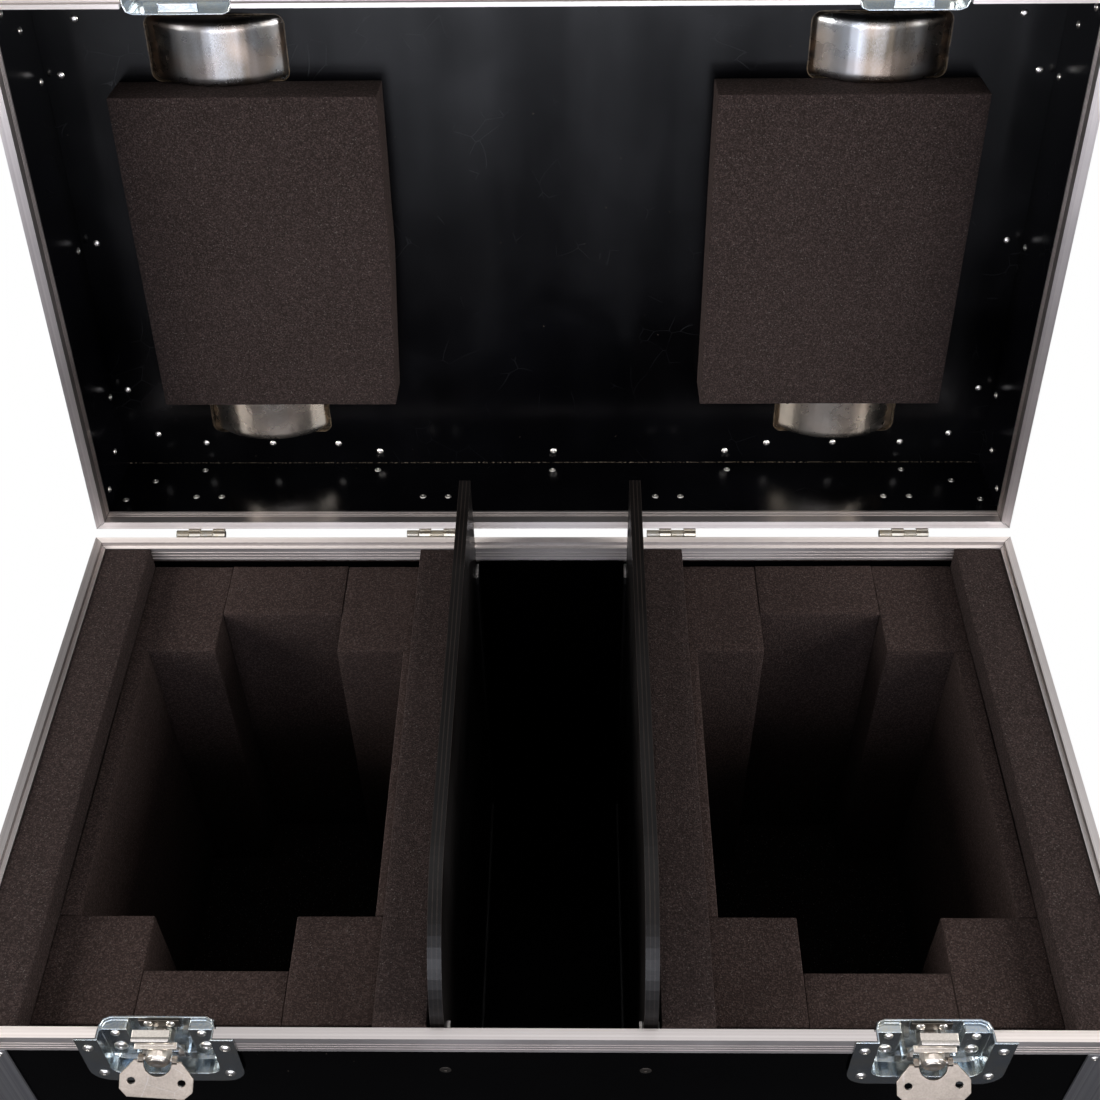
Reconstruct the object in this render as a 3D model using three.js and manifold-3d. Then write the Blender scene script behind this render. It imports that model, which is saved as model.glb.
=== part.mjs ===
// A wheeled flight case for two stage lights, in millimetres, with X to the right, Y to the back and Z up.
// The origin is the centre of the floor board's underside. The lid stands open, as far as its hinges let it.
import * as THREE from "three";
import { mergeVertices } from "three/addons/utils/BufferGeometryUtils.js";
import Module from "manifold-3d";

const wasm = await Module();
wasm.setup();

// The case as a whole
const CASE_WIDTH = 860;
const CASE_DEPTH = 494;
const BASE_HEIGHT = 430;
const LID_HEIGHT = 106;
const WALL_BOARD = 7;
const FLOOR_BOARD = 12;
const LID_OPEN_ANGLE = THREE.MathUtils.degToRad(98.9);
const CLEARANCE = 0.3;
const CUT_OVERRUN = 5;
const MERGE_DISTANCE = 1e-4;

// Aluminium rim: a tongue on the base and a lip on the lid, each on a channel that holds the board
const RIM_WALL = 1.5;
const RIM_TONGUE = 6.8;
const RIM_STEP = 4.3;
const RIM_WEB = 6;
const RIM_OUTER_LEG = 19.5;
const BASE_RIM_INNER_LEG = 21.5;
const LID_RIM_INNER_LEG = 14;
const RIM_GROOVE_WIDTH = 1.4;
const RIM_GROOVE_DEPTH = 0.5;
const RIM_GROOVE_SHARES = [0.42, 0.6, 0.78];

// Aluminium edge angles, wider up the corners, with a steel ball corner where three of them meet
const EDGE_WALL = 1.5;
const EDGE_LEG = 27;
const UPRIGHT_LEG = 44;
const CORNER_SHEET = 1.2;
const CORNER_LEG = 50;
const CORNER_CHAMFER = 16;
const BALL_RADIUS = 17;
const BALL_INSET = 13;

// Butt hinges along the back, with their stops built in
const HINGE_PLACE_SHARES = [-0.77, -0.263, 0.263, 0.77];
const HINGE_WIDTH = 46;
const HINGE_LEAF_HEIGHT = 50;
const HINGE_SHEET = 1.6;
const HINGE_KNUCKLE_COUNT = 4;
const HINGE_KNUCKLE_RADIUS = 3.7;
const HINGE_PIN_RADIUS = 1.6;
const HINGE_AXIS_BEHIND = 5.3;
const HINGE_AXIS_BELOW = 1.2;
const HINGE_RIVET_HEIGHT = 40;
const HINGE_RIVET_SPACING = 24;
const HINGE_RIVET_RADIUS = 2.4;

// Recessed butterfly latches on the front
const LATCH_FROM_SIDE = 155;
const LATCH_SHEET = 1.3;
const LATCH_FLANGE_WIDTH = 113;
const LATCH_LOWER_FLANGE = 65;
const LATCH_UPPER_FLANGE = 50;
const LATCH_FLANGE_RADIUS = 16;
const LATCH_POCKET_WIDTH = 80;
const LATCH_POCKET_DEPTH = 17;
const LATCH_LOWER_POCKET = 53;
const LATCH_UPPER_POCKET = 38;
const LATCH_POCKET_RADIUS = 10;
const LATCH_POCKET_BEND = 6;
const LATCH_PAD_WIDTH = 18;
const LATCH_PAD_RISE = 7;
const LATCH_PAD_TOP = 4;
const LATCH_PAD_HEIGHT = 38;
const SPINDLE_BELOW = 21;
const SPINDLE_RADIUS = 8.9;
const SPINDLE_PROUD = 7;
const SPINDLE_BEVEL = 1.6;
const SPINDLE_SHAFT_RADIUS = 3.7;
const SPINDLE_HEAD_RADIUS = 6;
const SPINDLE_HEAD_LENGTH = 1.8;
const SPINDLE_REST_ROLLS = { left: THREE.MathUtils.degToRad(8), right: THREE.MathUtils.degToRad(-5) };
const BUTTERFLY_SHEET = 1.8;
const BUTTERFLY_WIDTH = 52;
const BUTTERFLY_LENGTH = 31;
const BUTTERFLY_HEAD = 2.5;
const BUTTERFLY_NOTCH_RADIUS = 9.8;
const BUTTERFLY_NOTCH_DROP = 4;
const BUTTERFLY_HOLE_RADIUS = 3;
const BUTTERFLY_HOLE_X = 17.8;
const BUTTERFLY_HOLE_Z = 18;
const BUTTERFLY_TILT = THREE.MathUtils.degToRad(33);
const BUTTERFLY_PIN_RADIUS = 1.5;
const BUTTERFLY_PIN_PROUD = 3.9;
const BUTTERFLY_EYE_RADIUS = 3.2;
const BUTTERFLY_EYE_WIDTH = 3.4;
const HOOK_SHEET = 2;
const HOOK_WIDTH = 26;
const HOOK_ARM_WIDTH = 4;
const HOOK_PIVOT_BELOW = 34;
const HOOK_PIVOT_DEPTH = 7.5;
const HOOK_PIN_RADIUS = 2;
const HOOK_EYE_RADIUS = 4.4;
const HOOK_TOP = 10;
const HOOK_TIP_REACH = 7.5;
const HOOK_TIP_HEIGHT = 3.2;
const HOOK_LEDGE_WIDTH = 30;
const HOOK_LEDGE_DEPTH = 2.5;
const HOOK_LEDGE_HEIGHT = 3;
const HOOK_LEDGE_BELOW = 10;
const HOOK_LEAN = THREE.MathUtils.degToRad(16);
const HOOK_LUG_WIDTH = 2.5;
const KEEPER_WIDTH = 30;
const KEEPER_HEIGHT = 3;
const KEEPER_REACH = 6.6;
const KEEPER_GAP = 0.8;

// Upright dividers, each held in one bent channel
const DIVIDER_SPACING = 142;
const DIVIDER_BOARD = 10;
const DIVIDER_RISE = 84;
const DIVIDER_NOSE_RADIUS = 101;
const CHANNEL_WALL = 2;
const CHANNEL_DEPTH = 18;
const CHANNEL_BELOW_RIM = 27;

// Foam in the base, one liner for each light
const FOAM_SLAB_BELOW_RIM = 5;
const FOAM_BLOCK_BELOW_RIM = 28.5;
const FOAM_OUTER_SLAB = 42;
const FOAM_INNER_SLAB = 39;
const FOAM_OUTER_STRIP = 15;
const FOAM_INNER_STRIP = 9.5;
const FOAM_REAR_BLOCK = 105;
const FOAM_REAR_RECESS = 61;
const FOAM_FRONT_BLOCK = 102;
const FOAM_FRONT_RECESS = 56;
const FOAM_RECESS_WIDTH = 110;
const FOAM_FLOOR = 45;

// Foam pads on the lid
const LID_PAD_INNER_X = 138.6;
const LID_PAD_FROM_SIDE = 69.4;
const LID_PAD_THICKNESS = 40;

// Pressed dishes that take the wheels of a case stacked on this one
const DISH_FROM_SIDE = 157;
const DISH_FROM_END = 73.5;
const DISH_SHEET = 1.2;
const DISH_LENGTH = 111;
const DISH_WIDTH = 51;
const DISH_DEPTH = 26;
const DISH_END_DEPTH = 5;
const DISH_BEND = 5;
const DISH_CORNER = 7;
const DISH_FLANGE_LENGTH = 148;
const DISH_FLANGE_WIDTH = 92;
const DISH_FLANGE_RADIUS = 8;

// Swivel castors
const CASTOR_HEIGHT = 137;
const CASTOR_TRAIL = 38;
const CASTOR_PLATE_LENGTH = 105;
const CASTOR_PLATE_WIDTH = 85;
const CASTOR_PLATE_SHEET = 3;
const CASTOR_PLATE_RADIUS = 8;
const CASTOR_RACE_RADIUS = 34;
const CASTOR_RACE_HEIGHT = 7;
const CASTOR_KINGPIN_RADIUS = 6;
const CASTOR_NUT_RADIUS = 10;
const CASTOR_NUT_HEIGHT = 5;
const FORK_SHEET = 3.5;
const FORK_CROWN_RADIUS = 32;
const FORK_SIDE_GAP = 2.2;
const FORK_LEG_TOP = 29;
const FORK_LEG_DROP = 16;
const FORK_AXLE_BOSS = 13;
const WHEEL_RADIUS = 50;
const WHEEL_WIDTH = 36;
const WHEEL_TREAD = 11;
const WHEEL_TREAD_BEVEL = 3;
const WHEEL_WEB = 10;
const WHEEL_HUB_RADIUS = 15;
const AXLE_RADIUS = 5;
const AXLE_NUT_RADIUS = 8;
const AXLE_NUT_LENGTH = 5;

// Spring-return handles in dishes on the two sides
const HANDLE_PLACE_Z = 255;
const HANDLE_SHEET = 1.3;
const HANDLE_FLANGE_MARGIN = 15;
const HANDLE_FLANGE_RADIUS = 8;
const HANDLE_POCKET_WIDTH = 142;
const HANDLE_POCKET_HEIGHT = 92;
const HANDLE_POCKET_DEPTH = 17;
const HANDLE_POCKET_RADIUS = 14;
const HANDLE_POCKET_BEND = 5;
const BAIL_SIDE_GAP = 15;
const BAIL_FOOT_GAP = 19;
const BAIL_RADIUS = 3.6;
const BAIL_BEND = 12;
const BAIL_DEPTH = 7.6;
const BAIL_GRIP_RADIUS = 6.4;
const BAIL_GRIP_GAP = 7;
const BAIL_PIVOT_DOWN = 15;
const BAIL_STEP_COUNT = 24;
const BAIL_EAR_WIDTH = 6;
const BAIL_EAR_RADIUS = 6.6;

// How finely round shapes are faceted
const FACET_COUNTS = {
  pin: 8, barrel: 16, wheel: 24, corner: 3, bend: 2, nose: 10, dish: 8, ball: 10, rod: 6, notch: 5,
};

// Sizes that follow from those above
const PARTING = BASE_HEIGHT;
const HALF_WIDTH = CASE_WIDTH / 2;
const HALF_DEPTH = CASE_DEPTH / 2;
const BOARD_OUT = RIM_WALL + CLEARANCE;
const BOARD_IN = BOARD_OUT + WALL_BOARD;
const RIM_WIDTH = BOARD_IN + CLEARANCE + RIM_WALL;
const LID_INSIDE = PARTING + LID_HEIGHT - WALL_BOARD;
const HINGE_AXIS_Y = HALF_DEPTH + HINGE_AXIS_BEHIND;
const HINGE_AXIS_Z = PARTING - HINGE_AXIS_BELOW;
const LATCH_PLACE_X = HALF_WIDTH - LATCH_FROM_SIDE;
const DISH_PLACE_X = HALF_WIDTH - DISH_FROM_SIDE;
const DISH_PLACE_Y = HALF_DEPTH - DISH_FROM_END;
const BAIL_WIDTH = HANDLE_POCKET_WIDTH - 2 * BAIL_SIDE_GAP;
const BAIL_DROP = HANDLE_POCKET_HEIGHT - BAIL_PIVOT_DOWN - BAIL_FOOT_GAP;
const DIVIDER_IN = DIVIDER_SPACING / 2;
const DIVIDER_OUT = DIVIDER_IN + DIVIDER_BOARD;
const SIDES = { left: -1, right: 1 };
const ENDS = { front: -1, rear: 1 };

const FINISH = {
  laminate: { color: 0x17171b, roughness: 0.42, metalness: 0 },
  plywood: { color: 0x1f1d1d, roughness: 0.6, metalness: 0 },
  aluminium: { color: 0xcfcdca, roughness: 0.32, metalness: 1 },
  zinc: { color: 0xb9c0c6, roughness: 0.3, metalness: 1 },
  steel: { color: 0xc2c0bb, roughness: 0.36, metalness: 1 },
  foam: { color: 0x332e2b, roughness: 0.97, metalness: 0 },
  rubber: { color: 0x1b1c1e, roughness: 0.8, metalness: 0 },
};

// Solids from three.js geometry, and back
function solidFrom(geometry) {
  const bare = geometry.clone();
  bare.deleteAttribute("normal");
  bare.deleteAttribute("uv");
  const merged = mergeVertices(bare, MERGE_DISTANCE);
  const triVerts = new Uint32Array(merged.index.array);
  return new wasm.Manifold(
    new wasm.Mesh({ numProp: 3, vertProperties: merged.attributes.position.array, triVerts }),
  );
}

function geometryFrom(solid) {
  const { vertProperties, triVerts } = solid.getMesh();
  const geometry = new THREE.BufferGeometry();
  geometry.setAttribute("position", new THREE.BufferAttribute(vertProperties, 3));
  geometry.setIndex(new THREE.BufferAttribute(triVerts, 1));
  const faceted = geometry.toNonIndexed();
  faceted.computeVertexNormals();
  return faceted;
}

function join(first, ...others) {
  return others.reduce((sum, other) => sum.add(other), first);
}

function cut(solid, ...tools) {
  return tools.reduce((rest, tool) => rest.subtract(tool), solid);
}

// A box between two places along each axis, given in either order
function block(xs, ys, zs) {
  const spans = [xs, ys, zs].map(([a, b]) => Math.abs(b - a));
  const middles = [xs, ys, zs].map(([a, b]) => (a + b) / 2);
  return solidFrom(new THREE.BoxGeometry(...spans).translate(...middles));
}

// A box as wide and deep as the case, less an inset on all four sides
function caseBlock(inset, low, high) {
  const x = HALF_WIDTH - inset;
  const y = HALF_DEPTH - inset;
  return block([-x, x], [-y, y], [low, high]);
}

// A rectangular ring round the case between two insets
function caseRing(outerInset, innerInset, low, high) {
  return cut(caseBlock(outerInset, low, high), caseBlock(innerInset, low - CUT_OVERRUN, high + CUT_OVERRUN));
}

// An outline drawn in plan and raised from one height to another
function raisedFromPlan(shape, low, high) {
  const geometry = new THREE.ExtrudeGeometry(shape, {
    depth: high - low,
    bevelEnabled: false,
    curveSegments: FACET_COUNTS.corner,
  });
  return solidFrom(geometry.translate(0, 0, low));
}

// An outline drawn as seen from the front, X across and Z up, given a depth from front to back
function carriedBack(shape, front, back, curveSegments = FACET_COUNTS.corner) {
  const geometry = new THREE.ExtrudeGeometry(shape, { depth: back - front, bevelEnabled: false, curveSegments });
  return solidFrom(geometry.rotateX(Math.PI / 2).translate(0, back, 0));
}

// An outline drawn from the right side, Y across and Z up, given a width from left to right
function carriedAcross(shape, left, right, curveSegments = FACET_COUNTS.corner) {
  const geometry = new THREE.ExtrudeGeometry(shape, { depth: right - left, bevelEnabled: false, curveSegments });
  const axes = new THREE.Matrix4().makeBasis(
    new THREE.Vector3(0, 1, 0),
    new THREE.Vector3(0, 0, 1),
    new THREE.Vector3(1, 0, 0),
  );
  return solidFrom(geometry.applyMatrix4(axes).translate(left, 0, 0));
}

// As carriedBack, with every edge at the back end rounded, as a press leaves it
function pressedBack(shape, front, back, bend) {
  const geometry = new THREE.ExtrudeGeometry(shape, {
    depth: back - front,
    bevelEnabled: true,
    bevelThickness: bend,
    bevelSize: bend,
    bevelOffset: -bend,
    bevelSegments: FACET_COUNTS.bend,
    curveSegments: FACET_COUNTS.corner,
  });
  const pressed = solidFrom(geometry.rotateX(Math.PI / 2).translate(0, back - bend, 0));
  return pressed.trimByPlane([0, 1, 0], front);
}

// Round bars along each axis
function barAcross(radius, left, right, y, z, facets) {
  const bar = new THREE.CylinderGeometry(radius, radius, right - left, facets);
  return solidFrom(bar.rotateZ(Math.PI / 2).translate((left + right) / 2, y, z));
}

function barBack(radius, front, back, x, z, facets) {
  const bar = new THREE.CylinderGeometry(radius, radius, back - front, facets);
  return solidFrom(bar.translate(x, (front + back) / 2, z));
}

function barUp(radius, low, high, x, y, facets) {
  const bar = new THREE.CylinderGeometry(radius, radius, high - low, facets);
  return solidFrom(bar.rotateX(Math.PI / 2).translate(x, y, (low + high) / 2));
}

// The radius of a faceted bore that a round pin turns in with the usual clearance
function boreFor(pinRadius) {
  return (pinRadius + CLEARANCE) / Math.cos(Math.PI / FACET_COUNTS.pin);
}

// A turned piece on the Y axis, from pairs of radius and place along the axis
function turnedOnY(profile, facets) {
  const points = profile.map(([radius, place]) => new THREE.Vector2(radius, place));
  return solidFrom(new THREE.LatheGeometry(points, facets));
}

// A rectangle between two corners, with one radius at the corners that are named round
function roundedRectangle(left, right, low, high, radius, roundLow = true, roundHigh = true) {
  const shape = new THREE.Shape();
  const lowRadius = roundLow ? radius : 0;
  const highRadius = roundHigh ? radius : 0;
  shape.moveTo(left + lowRadius, low);
  shape.lineTo(right - lowRadius, low);
  if (roundLow) shape.absarc(right - radius, low + radius, radius, -Math.PI / 2, 0, false);
  shape.lineTo(right, high - highRadius);
  if (roundHigh) shape.absarc(right - radius, high - radius, radius, 0, Math.PI / 2, false);
  shape.lineTo(left + highRadius, high);
  if (roundHigh) shape.absarc(left + radius, high - radius, radius, Math.PI / 2, Math.PI, false);
  shape.lineTo(left, low + lowRadius);
  if (roundLow) shape.absarc(left + radius, low + radius, radius, Math.PI, 1.5 * Math.PI, false);
  return shape;
}

// The scene: the base stands still, and the lid is a group that is turned open about its hinges
const flightCase = new THREE.Group();
const base = new THREE.Group();
const lidPivot = new THREE.Group();
const lid = new THREE.Group();
lidPivot.position.set(0, HINGE_AXIS_Y, HINGE_AXIS_Z);
lidPivot.rotation.x = -LID_OPEN_ANGLE;
lid.position.set(0, -HINGE_AXIS_Y, -HINGE_AXIS_Z);
lidPivot.add(lid);
flightCase.add(base, lidPivot);

function place(name, solid, finish, group) {
  const mesh = new THREE.Mesh(geometryFrom(solid), new THREE.MeshStandardMaterial({ ...FINISH[finish] }));
  mesh.name = name;
  group.add(mesh);
  return mesh;
}

// Where a latch dish goes through a board or a rim, seen from the front
function latchOpening(gap) {
  const halfWidth = LATCH_POCKET_WIDTH / 2 + LATCH_SHEET + gap;
  const low = PARTING - LATCH_LOWER_POCKET - LATCH_SHEET - gap;
  const high = PARTING + LATCH_UPPER_POCKET + LATCH_SHEET + gap;
  const shape = roundedRectangle(-halfWidth, halfWidth, low, high, LATCH_POCKET_RADIUS);
  const front = -HALF_DEPTH - CUT_OVERRUN;
  const back = -HALF_DEPTH + LATCH_POCKET_DEPTH + CUT_OVERRUN;
  return Object.values(SIDES).map((side) =>
    carriedBack(shape, front, back).translate([side * LATCH_PLACE_X, 0, 0]),
  );
}

// Boards of the base
function buildBaseBoards() {
  const x = HALF_WIDTH - BOARD_OUT;
  const top = PARTING - RIM_WEB - CLEARANCE;
  const low = FLOOR_BOARD + CLEARANCE;
  place("base_floor_panel", join(caseBlock(BOARD_OUT, 0, FLOOR_BOARD), ...castorPlates()), "laminate", base);
  for (const [end, sign] of Object.entries(ENDS)) {
    const ys = [sign * (HALF_DEPTH - BOARD_OUT), sign * (HALF_DEPTH - BOARD_IN)];
    const board = block([-x, x], ys, [low, top]);
    const openings = end === "front" ? latchOpening(CLEARANCE) : [];
    place(`base_${end}_panel`, cut(board, ...openings), "laminate", base);
  }
  const y = HALF_DEPTH - BOARD_IN - CLEARANCE;
  for (const [side, sign] of Object.entries(SIDES)) {
    const xs = [sign * (HALF_WIDTH - BOARD_OUT), sign * (HALF_WIDTH - BOARD_IN)];
    const board = cut(block(xs, [-y, y], [low, top]), handleOpening(sign));
    place(`base_${side}_panel`, board, "laminate", base);
  }
}

// Boards of the lid, the top one pierced for the stacking dishes
function buildLidBoards() {
  const x = HALF_WIDTH - BOARD_OUT;
  const low = PARTING + RIM_WEB + CLEARANCE;
  const top = LID_INSIDE - CLEARANCE;
  const holeX = DISH_LENGTH / 2 + DISH_SHEET + CLEARANCE;
  const holeY = DISH_WIDTH / 2 + DISH_SHEET + CLEARANCE;
  const hole = raisedFromPlan(
    roundedRectangle(-holeX, holeX, -holeY, holeY, DISH_CORNER),
    LID_INSIDE - CUT_OVERRUN,
    PARTING + LID_HEIGHT + CUT_OVERRUN,
  );
  const holes = dishPlaces().map(({ at }) => hole.translate([at.x, at.y, 0]));
  const topBoard = cut(caseBlock(BOARD_OUT, LID_INSIDE, PARTING + LID_HEIGHT), ...holes);
  place("lid_top_panel", topBoard, "laminate", lid);
  for (const [end, sign] of Object.entries(ENDS)) {
    const ys = [sign * (HALF_DEPTH - BOARD_OUT), sign * (HALF_DEPTH - BOARD_IN)];
    const board = block([-x, x], ys, [low, top]);
    const openings = end === "front" ? latchOpening(CLEARANCE) : [];
    place(`lid_${end}_panel`, cut(board, ...openings), "laminate", lid);
  }
  const y = HALF_DEPTH - BOARD_IN - CLEARANCE;
  for (const [side, sign] of Object.entries(SIDES)) {
    const xs = [sign * (HALF_WIDTH - BOARD_OUT), sign * (HALF_WIDTH - BOARD_IN)];
    place(`lid_${side}_panel`, block(xs, [-y, y], [low, top]), "laminate", lid);
  }
}

// Fine grooves along a leg of the rim, on its outer or its inner face
function rimGrooves(from, leg, outer) {
  const insets = outer
    ? [-CUT_OVERRUN, RIM_GROOVE_DEPTH]
    : [RIM_WIDTH - RIM_GROOVE_DEPTH, RIM_WIDTH + CUT_OVERRUN];
  return RIM_GROOVE_SHARES.map((share) => {
    const z = from + share * leg;
    return caseRing(...insets, z - RIM_GROOVE_WIDTH / 2, z + RIM_GROOVE_WIDTH / 2);
  });
}

function buildRims() {
  const innerLegInset = RIM_WIDTH - RIM_WALL;
  const baseRim = join(
    caseRing(0, RIM_TONGUE, PARTING - RIM_WEB, PARTING),
    caseRing(0, RIM_WIDTH, PARTING - RIM_WEB, PARTING - RIM_STEP),
    caseRing(0, RIM_WALL, PARTING - RIM_OUTER_LEG, PARTING),
    caseRing(innerLegInset, RIM_WIDTH, PARTING - BASE_RIM_INNER_LEG, PARTING - RIM_STEP),
  );
  const baseGrooves = [
    ...rimGrooves(PARTING, -RIM_OUTER_LEG, true),
    ...rimGrooves(PARTING, -BASE_RIM_INNER_LEG, false),
  ];
  placeRim("base", cut(baseRim, ...baseGrooves, ...latchOpening(CLEARANCE)), base);

  const seat = PARTING + CLEARANCE;
  const lipInset = RIM_TONGUE + CLEARANCE;
  const lipBottom = PARTING - RIM_STEP + CLEARANCE;
  const lidRim = join(
    caseRing(0, RIM_WIDTH, seat, PARTING + RIM_WEB),
    caseRing(lipInset, RIM_WIDTH, lipBottom, PARTING + RIM_WEB),
    caseRing(0, RIM_WALL, seat, PARTING + RIM_OUTER_LEG),
    caseRing(innerLegInset, RIM_WIDTH, lipBottom, PARTING + LID_RIM_INNER_LEG),
  );
  const lidGrooves = [
    ...rimGrooves(PARTING, RIM_OUTER_LEG, true),
    ...rimGrooves(PARTING, LID_RIM_INNER_LEG, false),
  ];
  placeRim("lid", cut(lidRim, ...lidGrooves, ...latchOpening(CLEARANCE)), lid);
}

// The latches part the rim in two: the length between them, and the rest
function placeRim(half, rim, group) {
  const depths = [-HALF_DEPTH - CUT_OVERRUN, -HALF_DEPTH + RIM_WIDTH + CUT_OVERRUN];
  const levels = [PARTING - BASE_RIM_INNER_LEG - CUT_OVERRUN, PARTING + RIM_OUTER_LEG + CUT_OVERRUN];
  const between = block([-LATCH_PLACE_X, LATCH_PLACE_X], depths, levels);
  place(`${half}_rim`, rim.subtract(between), "aluminium", group);
  place(`${half}_rim_front`, rim.intersect(between), "aluminium", group);
}

// One ball corner: a ball and three flat flanges, kept outside the edge angles
// The corner point of the case is at the origin, and the case lies towards -X, -Y and -Z from it.
function ballCorner() {
  const ball = new THREE.SphereGeometry(BALL_RADIUS, FACET_COUNTS.ball, FACET_COUNTS.ball / 2);
  const flangeShape = new THREE.Shape();
  flangeShape.moveTo(CORNER_SHEET, CORNER_SHEET);
  flangeShape.lineTo(-CORNER_LEG, CORNER_SHEET);
  flangeShape.lineTo(-CORNER_LEG, -CORNER_LEG + CORNER_CHAMFER);
  flangeShape.lineTo(-CORNER_LEG + CORNER_CHAMFER, -CORNER_LEG);
  flangeShape.lineTo(CORNER_SHEET, -CORNER_LEG);
  const inner = [-2 * CORNER_LEG, -EDGE_WALL];
  const corner = join(
    solidFrom(ball.translate(-BALL_INSET, -BALL_INSET, -BALL_INSET)),
    raisedFromPlan(flangeShape, -EDGE_WALL, CORNER_SHEET),
    carriedAcross(flangeShape, -EDGE_WALL, CORNER_SHEET),
    carriedBack(flangeShape, -EDGE_WALL, CORNER_SHEET),
  );
  return cut(corner, block(inner, inner, inner));
}

// The edge angles of one half: its thin outer skin, less a window in each face
function edgeSkeleton(openLevel, closedLevel) {
  const outward = Math.sign(closedLevel - openLevel);
  const innerLevel = closedLevel - outward * EDGE_WALL;
  const windowEnd = closedLevel - outward * EDGE_LEG;
  const beyondOpen = openLevel - outward * CUT_OVERRUN;
  const beyondClosed = closedLevel + outward * CUT_OVERRUN;
  const skin = cut(
    caseBlock(0, Math.min(openLevel, closedLevel), Math.max(openLevel, closedLevel)),
    caseBlock(EDGE_WALL, Math.min(beyondOpen, innerLevel), Math.max(beyondOpen, innerLevel)),
  );
  const windowX = HALF_WIDTH - EDGE_LEG;
  const windowY = HALF_DEPTH - EDGE_LEG;
  const betweenX = HALF_WIDTH - UPRIGHT_LEG;
  const betweenY = HALF_DEPTH - UPRIGHT_LEG;
  const farX = HALF_WIDTH + CUT_OVERRUN;
  const farY = HALF_DEPTH + CUT_OVERRUN;
  const angles = cut(
    skin,
    block([-betweenX, betweenX], [-farY, farY], [beyondOpen, windowEnd]),
    block([-farX, farX], [-betweenY, betweenY], [beyondOpen, windowEnd]),
    block([-windowX, windowX], [-windowY, windowY], [innerLevel - outward * CUT_OVERRUN, beyondClosed]),
  );
  const corner = ballCorner();
  const upright = outward > 0 ? corner : corner.mirror([0, 0, 1]);
  const corners = Object.values(SIDES).flatMap((side) =>
    Object.values(ENDS).map((end) => {
      const turnedX = side > 0 ? upright : upright.mirror([1, 0, 0]);
      const turned = end > 0 ? turnedX : turnedX.mirror([0, 1, 0]);
      return turned.translate([side * HALF_WIDTH, end * HALF_DEPTH, closedLevel]);
    }),
  );
  return join(angles, ...corners);
}

function buildEdging() {
  const skinGap = EDGE_WALL + CLEARANCE;
  const baseTop = PARTING - RIM_OUTER_LEG - CLEARANCE;
  place("base_edging", edgeSkeleton(baseTop, -skinGap), "aluminium", base);
  const lidLow = PARTING + RIM_OUTER_LEG + CLEARANCE;
  place("lid_edging", edgeSkeleton(lidLow, PARTING + LID_HEIGHT + skinGap), "aluminium", lid);
}

// One leaf of a hinge, from the middle of its pin: up for the lid's leaf, down for the base's
function hingeLeaf(direction, ownKnuckles) {
  const front = HALF_DEPTH + CLEARANCE;
  const plateTop = PARTING + direction * HINGE_LEAF_HEIGHT;
  const plateFoot = HINGE_AXIS_Z + direction * (HINGE_KNUCKLE_RADIUS + CLEARANCE);
  const half = HINGE_WIDTH / 2;
  const sheet = [front, front + HINGE_SHEET];
  const pitch = HINGE_WIDTH / HINGE_KNUCKLE_COUNT;
  const parts = [block([-half, half], sheet, [plateFoot, plateTop])];
  for (const index of ownKnuckles) {
    const left = -half + index * pitch + CLEARANCE / 2;
    const right = left + pitch - CLEARANCE;
    parts.push(barAcross(HINGE_KNUCKLE_RADIUS, left, right, HINGE_AXIS_Y, HINGE_AXIS_Z, FACET_COUNTS.pin));
    parts.push(block([left, right], sheet, [HINGE_AXIS_Z, plateFoot + direction * HINGE_SHEET]));
  }
  const boardFace = HALF_DEPTH - BOARD_OUT + CLEARANCE;
  for (const share of [-1, 1]) {
    const x = (share * HINGE_RIVET_SPACING) / 2;
    const z = PARTING + direction * HINGE_RIVET_HEIGHT;
    parts.push(barBack(HINGE_RIVET_RADIUS, boardFace, sheet[1], x, z, FACET_COUNTS.pin));
  }
  return join(...parts);
}

function buildHinges() {
  const half = HINGE_WIDTH / 2;
  const pin = barAcross(HINGE_PIN_RADIUS, -half, half, HINGE_AXIS_Y, HINGE_AXIS_Z, FACET_COUNTS.pin);
  const bore = barAcross(
    boreFor(HINGE_PIN_RADIUS), -half - CUT_OVERRUN, half + CUT_OVERRUN, HINGE_AXIS_Y, HINGE_AXIS_Z, FACET_COUNTS.pin,
  );
  const even = [...Array(HINGE_KNUCKLE_COUNT).keys()].filter((index) => index % 2 === 0);
  const odd = [...Array(HINGE_KNUCKLE_COUNT).keys()].filter((index) => index % 2 === 1);
  HINGE_PLACE_SHARES.forEach((share, index) => {
    const x = share * HALF_WIDTH;
    const baseLeaf = join(hingeLeaf(-1, even), pin);
    const lidLeaf = cut(hingeLeaf(1, odd), bore);
    place(`hinge_base_leaf_${index + 1}`, baseLeaf.translate([x, 0, 0]), "zinc", base);
    place(`hinge_lid_leaf_${index + 1}`, lidLeaf.translate([x, 0, 0]), "zinc", lid);
  });
}

// A pressed dish: a flange on the front, a sheet thick, and a pocket drawn out of it to the back
function pressedDish(flange, pocketAt, depth, sheet, bend) {
  return cut(
    join(carriedBack(flange, -sheet, 0), pressedBack(pocketAt(sheet), -sheet / 2, depth, bend + sheet)),
    pressedBack(pocketAt(0), -sheet - CUT_OVERRUN, depth - sheet, bend),
  );
}

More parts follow.
